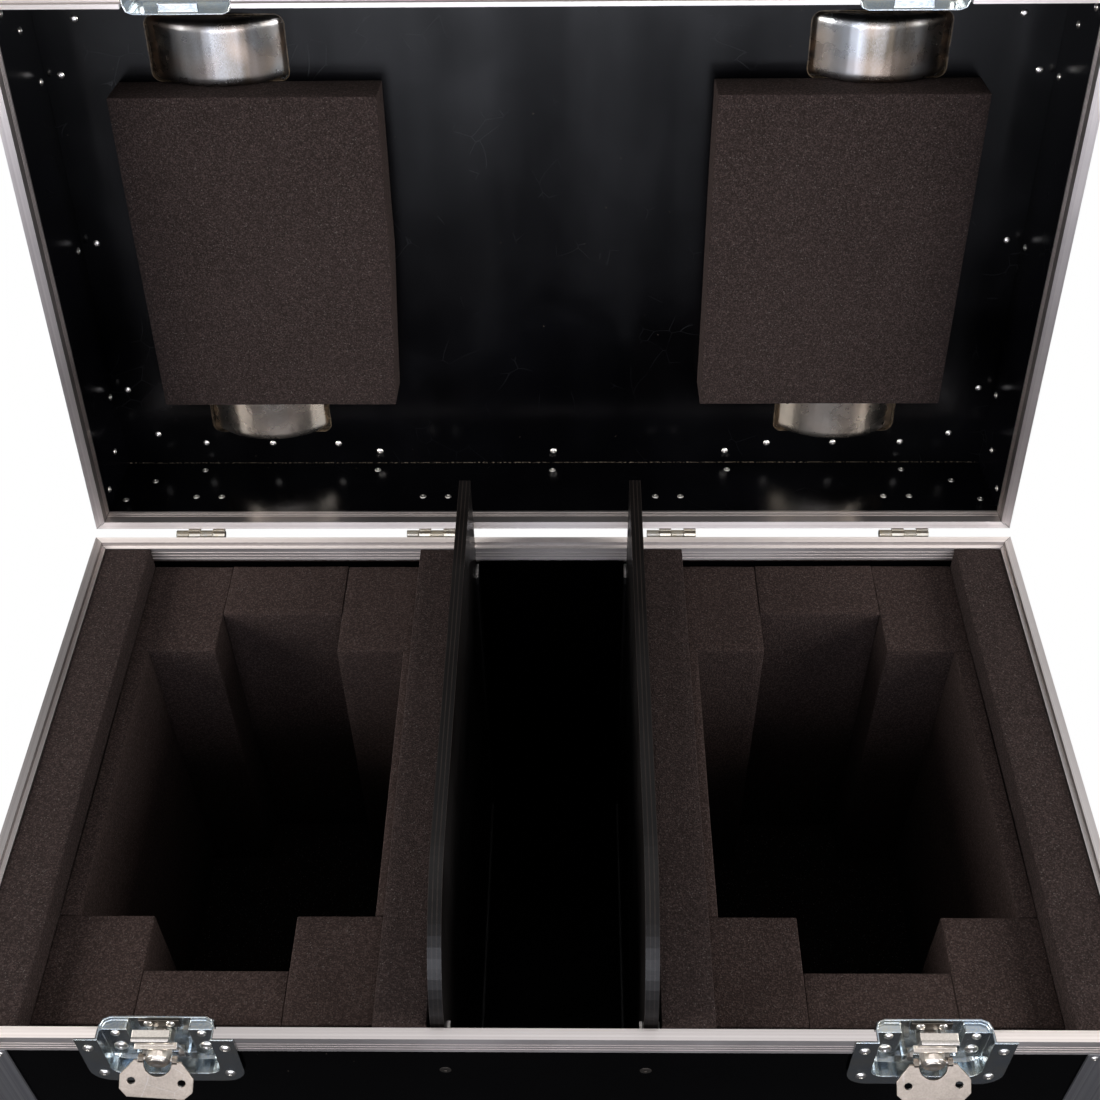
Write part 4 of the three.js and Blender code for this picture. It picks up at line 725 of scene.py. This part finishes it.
@dataclass
class Edging(SubAssembly):
    """Rims and edge angles, and the rivets that hold them."""

    TOP_RIVETS = [(403, 151.8), (382.5, 202), (337, 212), (272, 212.5), (208, 213), (168, 222), (403, 1), (403, -150)]
    REAR_RIVETS = [(339, 85), (383.5, 66), (404.5, 35), (170, 85.3), (338.3, 40), (314.1, 40), (122.1, 40), (98.3, 40)]
    SIDE_RIVETS = [(152, 85), (201, 66), (220.5, 31), (2.5, 86), (-148, 87), (-196.5, 66), (-219.4, 34.5)]
    PHOTO_UNIT = 1.0118 * MM
    INSET = 13.5 * MM
    LEG_INSET = 39 * MM
    LEG_RIVETS = (116, 212, 308, 404)
    CORNER_SKIN = 1.2 * MM
    SCALE = 0.95

    def build(self) -> None:
        """Makes the rivets inside the lid and outside the case."""
        self.build_lid_rivets()
        self.build_edge_rivets("base", 0.0, -1)
        self.build_edge_rivets("lid", LID_TOP, 1)

    def build_lid_rivets(self) -> None:
        """Makes the rivet heads on the lid's inner faces, where the photo shows them."""
        unit = self.PHOTO_UNIT
        top = both_sides([*self.TOP_RIVETS, (382.4, -196)]) + [(1.4, 222)]
        rear = both_sides(self.REAR_RIVETS) + [(0.4, 84.6)]
        spots = [(Vector((x * unit, y * unit, LID_INSIDE)), (0, 0, -1)) for x, y in top]
        spots += [(Vector((x * unit, HALF_DEPTH - BOARD_IN, PARTING + z * unit)), (0, -1, 0)) for x, z in rear]
        for side, (y, z) in product(SIDES.values(), self.SIDE_RIVETS):
            spots.append((Vector((side * (HALF_WIDTH - BOARD_IN), y * unit, PARTING + z * unit)), (-side, 0, 0)))
        self.keep(Shape().turned(POP_RIVET, spots, 1.14), "lid_inside_rivets", "lid", BRIGHT, "aluminium")

    def build_edge_rivets(self, half: str, level: float, outward: int) -> None:
        """Makes the rivets on the edge angles and ball corners of one half.

        Args:
            half: Which half.
            level: The height of its closed face.
            outward: Which way that face looks, up or down.
        """
        edge_z = level - outward * (self.INSET - EDGING_OUT)
        face = level + outward * EDGING_FACE
        spots = []
        for end, x in product(ENDS.values(), (-340, -170, 0, 170, 340)):
            spots.append((Vector((x * MM, end * HALF_DEPTH, edge_z)), (0, end, 0)))
            spots.append((Vector((x * MM, end * (HALF_DEPTH - self.INSET), face)), (0, 0, outward)))
        for side, y in product(SIDES.values(), (-152, 0, 152)):
            spots.append((Vector((side * HALF_WIDTH, y * MM, edge_z)), (side, 0, 0)))
            spots.append((Vector((side * (HALF_WIDTH - self.INSET), y * MM, face)), (0, 0, outward)))
        for side, end in CORNERS:
            for z in self.LEG_RIVETS if half == "base" else ():
                spots.append((Vector((side * (HALF_WIDTH - self.LEG_INSET), end * HALF_DEPTH, z * MM)), (0, end, 0)))
                spots.append((Vector((side * HALF_WIDTH, end * (HALF_DEPTH - self.LEG_INSET), z * MM)), (side, 0, 0)))
            spots += self.corner_spots((side, end, outward), level)
        self.keep(Shape().turned(POP_RIVET, spots, self.SCALE), f"{half}_edging_rivets", half, BRIGHT, "aluminium")

    def corner_spots(self, towards: Triple, level: float) -> list[Spot]:
        """Places three rivets on each flange of one ball corner.

        Args:
            towards: The signs of the corner's directions.
            level: The height of the closed face.

        Returns:
            Each rivet's place and direction.
        """
        corner = (towards[0] * HALF_WIDTH, towards[1] * HALF_DEPTH, level + towards[2] * EDGING_FACE)
        spots = []
        for axis, (first, second) in product(range(3), ((44, 14), (14, 44), (37, 37))):
            u, v = [other for other in range(3) if other != axis]
            at, out = Vector(corner), Vector()
            at[axis] += towards[axis] * self.CORNER_SKIN
            at[u] -= towards[u] * first * MM
            at[v] -= towards[v] * second * MM
            out[axis] = towards[axis]
            spots.append((at, out))
        return spots

    def dress(self) -> None:
        """Gives rims, edging and channels their aluminium."""
        self.paint(RIM, "base_rim")
        self.paint(FRONT_RIM, "base_rim_front")
        self.paint(EDGING, "base_edging")
        self.paint(CHANNEL, "divider_channel_left", "divider_channel_right")
        self.paint(LID_RIM, "lid_rim", "lid_edging")
        self.paint(LID_FRONT_RIM_SHADED, "lid_rim_front")


@dataclass
class Hinges(SubAssembly):
    """The four hinges along the back."""

    X = (-331, -113, 113, 331)

    def build(self) -> None:
        """Makes the rivet heads on the leaves."""
        for body, direction in (("base", -40), ("lid", 40)):
            y, z = HALF_DEPTH + 1.9 * MM, PARTING + direction * MM
            spots = [(Vector(((x + share) * MM, y, z)), (0, 1, 0)) for x, share in product(self.X, (-12, 12))]
            self.keep(Shape().turned(POP_RIVET, spots, 0.9), f"hinge_{body}_rivets", body, BRIGHT, "zinc")

    def dress(self) -> None:
        """Gives the leaves their zinc."""
        self.paint(HINGE_ZINC, *[f"hinge_{body}_leaf_{i}" for body in ("base", "lid") for i in range(1, 5)])


@dataclass
class Latches(SubAssembly):
    """The two butterfly latches. Places are in millimetres from where a dish's back meets the parting."""

    LOWER_FLANGE = ((48.8, -1.3, -12.5), (46.0, -1.3, -52))
    UPPER_FLANGE = ((48.8, -1.3, 13.5), (44.5, -1.3, 38))
    PADS = ((31, 8.7, -9.5), (-31, 8.7, -9.5))
    LOW_PADS = ((31, 8.7, -29), (-31, 8.7, -29))
    STUDS = ((-8, 14.3, -6.6), (8, 14.3, -6.6))
    PLATE = ((-14.5, 14.3, -11.6), (14.5, 15.6, -2.4))

    def build(self) -> None:
        """Makes the rivets, the dark plate behind each hook, and the ring on each spindle."""
        for side, sign in SIDES.items():
            lower = Shape().turned(POP_RIVET, self.spots(sign, both_sides(self.LOWER_FLANGE)), 1.4, 16)
            lower.turned(DOME_RIVET, self.spots(sign, self.PADS), 1.05, 16)
            lower.turned(WIDE_RIVET, self.spots(sign, self.LOW_PADS), 1.15, 20)
            self.keep(lower, f"latch_lower_rivets_{side}", "base", BRIGHT, "steel")
            (low, _), (high, _) = self.spots(sign, self.PLATE)
            plate = Shape().block(low, high, 0.5 * MM, 6 * MM)
            self.keep(plate, f"latch_backing_plate_{side}", "base", DARK_STEEL, "steel")
            studs = Shape().turned(DOME_RIVET, self.spots(sign, self.STUDS), 1.05, 16)
            self.keep(studs, f"latch_backing_rivets_{side}", "base", BRIGHT, "steel")
            upper = Shape().turned(POP_RIVET, self.spots(sign, both_sides(self.UPPER_FLANGE)), 1.4, 16)
            self.keep(upper, f"latch_upper_rivets_{side}", "lid", BRIGHT, "steel")
            ring = Shape().turned(COLLAR, [(Vector((sign * LATCH_X, LATCH_BACK, SPINDLE_Z)), (0, -1, 0))], facets=24)
            self.keep(ring, f"latch_spindle_cap_{side}", f"spindle_{side}", HOOK_STEEL, "zinc")

    @staticmethod
    def spots(sign: int, places: Iterable[Sequence[float]]) -> list[Spot]:
        """Gives spots that face forward, at places on the latch of one side."""
        at = Vector((sign * LATCH_X, LATCH_BACK, PARTING))
        return [(at + Vector(place) * MM, (0, -1, 0)) for place in places]

    def dress(self) -> None:
        """Gives dishes and moving pieces their plating."""
        for side in SIDES:
            self.paint(ZINC, f"latch_lower_dish_{side}", f"latch_upper_dish_{side}")
            self.paint(STEEL, f"latch_butterfly_{side}")
            self.paint(HOOK_STEEL, f"latch_hook_{side}", f"latch_spindle_{side}")


@dataclass
class Dividers(SubAssembly):
    """The two upright dividers."""

    def dress(self) -> None:
        """Gives the dividers their plywood."""
        self.paint(DARK_PLY, "divider_left", "divider_right")


@dataclass(frozen=True)
class FoamBlock:
    """One cut block of foam on the right side of the case, mirrored for the left.

    Attributes:
        name: Its name without the side.
        low: Its lowest corner in millimetres.
        high: Its highest corner in millimetres.
        bow: How far its inner face bows, in millimetres.
        finish: Its finish.
        body: The body that it rides on.
    """

    name: str
    low: Triple
    high: Triple
    bow: float = 0.0
    finish: Finish = FOAM
    body: str = "base"


@dataclass
class Foam(SubAssembly):
    """The foam in base and lid, cut in blocks and glued. Sizes are in millimetres."""

    SLAB_TOP = 425.0
    LOW_TOP = 401.5
    EDGE = 0.9
    STEP = 9.0
    QUICK_SHARE = 2.5
    END = 236.0
    PIT_END = 132.0
    HANDLE_HALF = 101.0
    BEHIND_HANDLE = 410.2
    BLOCKS = (
        FoamBlock("foam_tall_slab", (376.9, -END, 12.4), (419.0, END, SLAB_TOP), 1.0, SLAB_FOAM),
        FoamBlock("foam_divider_slab", (83.7, -END, 12.4), (122.4, END, SLAB_TOP), 0.6, SLAB_FOAM),
        FoamBlock("foam_floor", (122.6, -179.6, 12.4), (376.7, 174.6, 57.2)),
        FoamBlock("foam_outer_strip", (362.0, -133.6, 57.4), (376.7, 131.2, LOW_TOP)),
        FoamBlock("foam_inner_strip", (122.6, -133.6, 57.4), (132.0, 131.2, LOW_TOP)),
        FoamBlock("foam_rear_block", (192.2, 175.2, 12.4), (302.0, END, LOW_TOP + 0.7)),
        FoamBlock("foam_rear_corner_outer", (302.2, 131.6, 12.4), (376.7, END, LOW_TOP)),
        FoamBlock("foam_rear_corner_inner", (122.6, 131.6, 12.4), (192.0, END, LOW_TOP)),
        FoamBlock("foam_front_block", (192.2, -223.0, 12.4), (302.0, -180.2, LOW_TOP - 0.6)),
        FoamBlock("foam_front_corner_outer", (302.2, -223.0, 12.4), (376.7, -134.4, LOW_TOP)),
        FoamBlock("foam_front_corner_inner", (122.6, -223.0, 12.4), (192.0, -134.4, LOW_TOP)),
    )
    PAD = FoamBlock("lid_foam_pad", (138.8, -146.3, 488.9), (360.4, 146.3, 528.6), 6.0, SLAB_FOAM, "lid")
    PAD_TAPER = 60.0
    BOW_DEPTH = 12.0

    def build(self) -> None:
        """Makes each block, and the pads in the lid."""
        for side in SIDES:
            slab, divider, *_ = [self.build_block(block, side) for block in self.BLOCKS]
            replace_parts(slab, f"foam_side_slab_{side}")
            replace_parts(divider, f"foam_liner_{side}")
            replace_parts(self.build_pad(side), f"lid_pad_{side}")

    def cut(self, block: FoamBlock, side: str, shift: Callable[[Vector], Vector]) -> bpy.types.Object:
        """Cuts one block.

        Args:
            block: The block.
            side: The side it is on.
            shift: What moves each of its points.

        Returns:
            The piece.
        """
        xs = sorted((SIDES[side] * block.low[0], SIDES[side] * block.high[0]))
        low, high = Vector((xs[0], *block.low[1:])) * MM, Vector((xs[1], *block.high[1:])) * MM
        step = self.STEP * 1.0 * MM
        shape = Shape().block(low, high, self.EDGE * MM, step, shift)
        made = self.keep(shape, f"{block.name}_{side}", block.body, block.finish, "foam")
        return made

    def build_block(self, block: FoamBlock, side: str) -> bpy.types.Object:
        """Makes one block in the base.

        Args:
            block: The block.
            side: The side it is on.

        Returns:
            The piece.
        """
        sign = SIDES[side]

        def shift(point: Vector) -> Vector:
            """Bows and sways a point, and keeps it clear of the handle's dish.

            Args:
                point: The point.

            Returns:
                Where it goes.
            """
            along = point.y / (self.PIT_END * MM)
            near_inner = 1 - min(1.0, (abs(point.x) - block.low[0] * MM) / (self.BOW_DEPTH * MM))
            bowed = block.bow * MM * max(0.0, 1 - along * along) * near_inner
            sway = noise.noise_vector(point * 9.0 + Vector((sign * 3.0, 0, 0)))
            rise = sway.z * 0.9 * MM + noise.noise(point * 40.0) * 0.3 * MM
            moved = point + Vector((sign * bowed + sway.x * 0.3 * MM, sway.y * 0.5 * MM, rise))
            if max(abs(point.y), abs(point.z - HANDLE_Z)) < self.HANDLE_HALF * MM:
                moved.x = sign * min(abs(moved.x), self.BEHIND_HANDLE * MM)
            return moved

        return self.cut(block, side, shift)

    def build_pad(self, side: str) -> bpy.types.Object:
        """Makes the pad glued inside the lid, of which the left one tapers towards the rear.

        Args:
            side: The side it is on.

        Returns:
            The piece.
        """
        sign, pad = SIDES[side], self.PAD

        def shift(point: Vector) -> Vector:
            """Sways a point and moves it for the taper.

            Args:
                point: The point.

            Returns:
                Where it goes.
            """
            towards_rear = max(0.0, point.y / (pad.high[1] * MM))
            near_inner = 1 - min(1.0, (abs(point.x) - pad.low[0] * MM) / (self.PAD_TAPER * MM))
            taper = pad.bow * MM * towards_rear * near_inner if sign < 0 else 0.0
            sway = noise.noise_vector(point * 12.0)
            return point + Vector((sign * taper + sway.x * 0.3 * MM, sway.y * 0.3 * MM, 0))

        return self.cut(pad, side, shift)


@dataclass
class StackingDishes(SubAssembly):
    """The dishes in the lid for the wheels of a case on top."""

    def build(self) -> None:
        """Makes the rivets in their flanges."""
        spots = []
        for (side, end), u, v in product(CORNERS, (-66, 0, 66), (-38, 38)):
            at = Vector((side * WHEEL_X + u * MM, end * CASTOR_Y + v * MM, LID_TOP + 1.5 * MM))
            spots.append((at, (0, 0, 1)))
        self.keep(Shape().turned(POP_RIVET, spots), "stacking_dish_rivets", "lid", BRIGHT, "steel")

    def dress(self) -> None:
        """Gives the dishes their drawn steel."""
        self.paint(DISH_STEEL, *[f"stacking_dish_{place}" for place in PLACES])


@dataclass
class Castors(SubAssembly):
    """Four swivel castors."""

    def build(self) -> None:
        """Makes the plates' bolts and the rings on the wheels."""
        spots = []
        for (side, end), u, v in product(CORNERS, (-42, 42), (-32, 32)):
            spots.append((Vector((side * CASTOR_X + u * MM, end * CASTOR_Y + v * MM, -3 * MM)), (0, 0, -1)))
        self.keep(Shape().turned(HEX_BOLT, spots, 0.8, 6), "castor_bolts", "base", CASTOR_ZINC, "zinc")
        for place, (side, end) in PLACES.items():
            middle = Vector((side * WHEEL_X, end * CASTOR_Y, WHEEL_Z))
            rings = Shape().turned(WEB_RING, [(middle, (0, way, 0)) for way in (-1, 1)], facets=24)
            self.keep(rings, f"wheel_web_ring_{place}", f"wheel_{place}", GRIP, "rubber")

    def dress(self) -> None:
        """Gives forks and wheels their finishes."""
        self.paint(CASTOR_ZINC, *[f"castor_fork_{place}" for place in PLACES])
        self.paint(WHEEL, *[f"castor_wheel_{place}" for place in PLACES])


@dataclass
class Handles(SubAssembly):
    """The spring-return handles."""

    GRIP_X = 420.9 * MM
    GRIP_Z = 228.0 * MM

    def build(self) -> None:
        """Makes the ribbed grips and the rivets of the flanges."""
        ribs = [(0, -37.5), (6.5, -37.5), (7.3, -36.7)]
        for start in range(-35, 35, 5):
            ribs += [(7.3, start), (6.9, start + 0.7), (6.9, start + 1.8), (7.3, start + 2.5)]
        ribs += [(7.3, 36.7), (6.5, 37.5), (0, 37.5)]
        flange = (*product((-78, 78), (-52, 0, 52)), (0, -54), (0, 54))
        for side, sign in SIDES.items():
            grip = Shape().turned(ribs, [(Vector((sign * self.GRIP_X, 0, self.GRIP_Z)), (0, 1, 0))], facets=20)
            self.keep(grip, f"handle_grip_{side}", f"bail_{side}", GRIP, "rubber")
            x = sign * (HALF_WIDTH - 0.2 * MM)
            spots = [(Vector((x, y * MM, HANDLE_Z + z * MM)), (sign, 0, 0)) for y, z in flange]
            self.keep(Shape().turned(POP_RIVET, spots), f"handle_rivets_{side}", "base", BRIGHT, "steel")

    def dress(self) -> None:
        """Gives dishes and bails their plating."""
        for side in SIDES:
            self.paint(ZINC, f"handle_dish_{side}")
            self.paint(HOOK_STEEL, f"handle_bail_{side}")


@dataclass
class Studio:
    """Floor, background, lights and camera, as in the photo."""

    WHITE = {"Color": (1.0, 1.0, 1.0, 1.0), "Strength": 1.0}

    def build(self) -> None:
        """Sets up everything that isn't the case."""
        self.build_floor()
        self.build_world()
        self.build_lights()
        self.build_camera()

    def build_floor(self) -> None:
        """Lays a pale floor that the camera sees as white, and that is dark near the case to all else as painted shade
        of the case.
        """
        bpy.ops.mesh.primitive_plane_add(size=14, location=(0, 0, GROUND_Z))
        floor = bpy.context.object
        floor.name = "floor"
        material = bpy.data.materials.new("floor")
        material.use_nodes = True
        g = Graph(material.node_tree)
        shader = material.node_tree.nodes["Principled BSDF"]
        # Painted shade: to reflections and bounced light the floor is nearly black closer than 1.8 m in front of the
        # case, fading to pale by 3.2 m, standing in for the case's shadow.
        near = g.remap(g.split(g.add("ShaderNodeTexCoord").outputs["Object"])[1], -3.2, -1.8)
        g.feed(shader.inputs["Base Color"], g.mix(near, (0.6, 0.6, 0.66), (0.03, 0.03, 0.033)))
        g.feed(shader.inputs["Roughness"], 0.9)
        seen = g.add("ShaderNodeLightPath").outputs["Is Camera Ray"]
        white = g.add("ShaderNodeEmission", self.WHITE)
        both = g.add("ShaderNodeMixShader", {0: seen, 1: shader.outputs[0], 2: white.outputs[0]})
        g.feed(material.node_tree.nodes["Material Output"].inputs[0], both.outputs[0])
        floor.data.materials.append(material)

    def build_world(self) -> None:
        """Makes a world that is white to the camera, grey to scattered light and shaded to reflections."""
        world = bpy.data.worlds.new("studio")
        bpy.context.scene.world = world
        world.use_nodes = True
        g = Graph(world.node_tree)
        grey = world.node_tree.nodes["Background"]
        x, y, up = g.split(g.add("ShaderNodeTexCoord").outputs["Generated"])
        paths = g.add("ShaderNodeLightPath").outputs
        soft = g.remap(up, -0.1, 0.9, 0.04, 0.10)
        ahead = g.remap(up, -0.05, 0.6, 0.42, 0.5)
        behind = g.mix(g.remap(up, 0.85, 0.95), g.remap(x, -0.35, 0.35, 0.15, 0.7), 1.15, "FLOAT")
        shown = g.mix(g.remap(y, 0.05, 0.30), ahead, behind, "FLOAT")
        g.feed(grey.inputs["Color"], (0.96, 0.97, 1.0, 1.0))
        g.feed(grey.inputs["Strength"], g.mix(paths["Is Glossy Ray"], soft, shown, "FLOAT"))
        white = g.add("ShaderNodeBackground", self.WHITE)
        both = g.add("ShaderNodeMixShader", {0: paths["Is Camera Ray"], 1: grey.outputs[0], 2: white.outputs[0]})
        g.feed(world.node_tree.nodes["World Output"].inputs[0], both.outputs[0])

    def build_lights(self) -> None:
        """Hangs the soft lights, of which the sheen shows in reflections only."""
        warm, cool = (1.0, 0.97, 0.94), (0.86, 0.89, 1.0)
        for name, place, target, size, power, colour in (
            ("sheen", (0.0, -2.4, 0.9), (0, 0.3, 0.45), (2.2, 0.4), 22.0, cool),
            ("key", (0.0, -2.4, 1.4), (0, 0.1, 0.5), (2.0, 0.6), 13.0, cool),
            ("front", (0.0, -3.2, 0.55), (0, 0, 0.6), (2.8, 1.3), 10.0, cool),
            ("left", (-2.0, -0.5, 1.4), (0, 0, 0.5), (0.9, 1.3), 48.0, warm),
            ("right", (2.0, -0.5, 1.4), (0, 0, 0.5), (0.9, 1.3), 42.0, warm),
            ("top", (0.0, -0.3, 2.6), (0, 0.1, 0.4), (2.4, 1.2), 3.5, warm),
        ):
            data = bpy.data.lights.new(name, "AREA")
            data.shape = "RECTANGLE"
            data.size, data.size_y = size
            data.energy, data.color = power, colour
            light = bpy.data.objects.new(name, data)
            light.location = place
            light.rotation_euler = (Vector(target) - Vector(place)).to_track_quat("-Z", "Y").to_euler()
            light.visible_diffuse = name != "sheen"
            bpy.context.scene.collection.objects.link(light)

    def build_camera(self) -> None:
        """Places the camera where the photo was taken from."""
        yaw, pitch, roll = math.radians(-1.167), math.radians(45.484), math.radians(-0.878)
        data = bpy.data.cameras.new("photo_camera")
        data.sensor_width, data.lens = 36.0, 47.52
        data.shift_x, data.shift_y = -0.0029, -0.0134
        camera = bpy.data.objects.new("photo_camera", data)
        turned = Matrix.Rotation(-yaw, 4, "Z") @ Matrix.Rotation(math.pi / 2 - pitch, 4, "X")
        camera.matrix_world = Matrix.Translation((0.0215, -0.7086, 1.4046)) @ turned @ Matrix.Rotation(roll, 4, "Z")
        bpy.context.scene.collection.objects.link(camera)
        bpy.context.scene.camera = camera


def main() -> None:
    """Builds and dresses the case and its studio."""
    logging.basicConfig(level=logging.INFO, format="%(name)s: %(message)s")
    palette = Palette()
    for group in (Boards, Edging, Hinges, Latches, Dividers, Foam, StackingDishes, Castors, Handles):
        assembly = group(palette)
        assembly.build()
        assembly.dress()
        LOG.info("%s: %d pieces built", group.__name__, len(assembly.pieces))
    Studio().build()
    bpy.context.scene.view_settings.view_transform = "Standard"


if __name__ == "__main__":
    main()
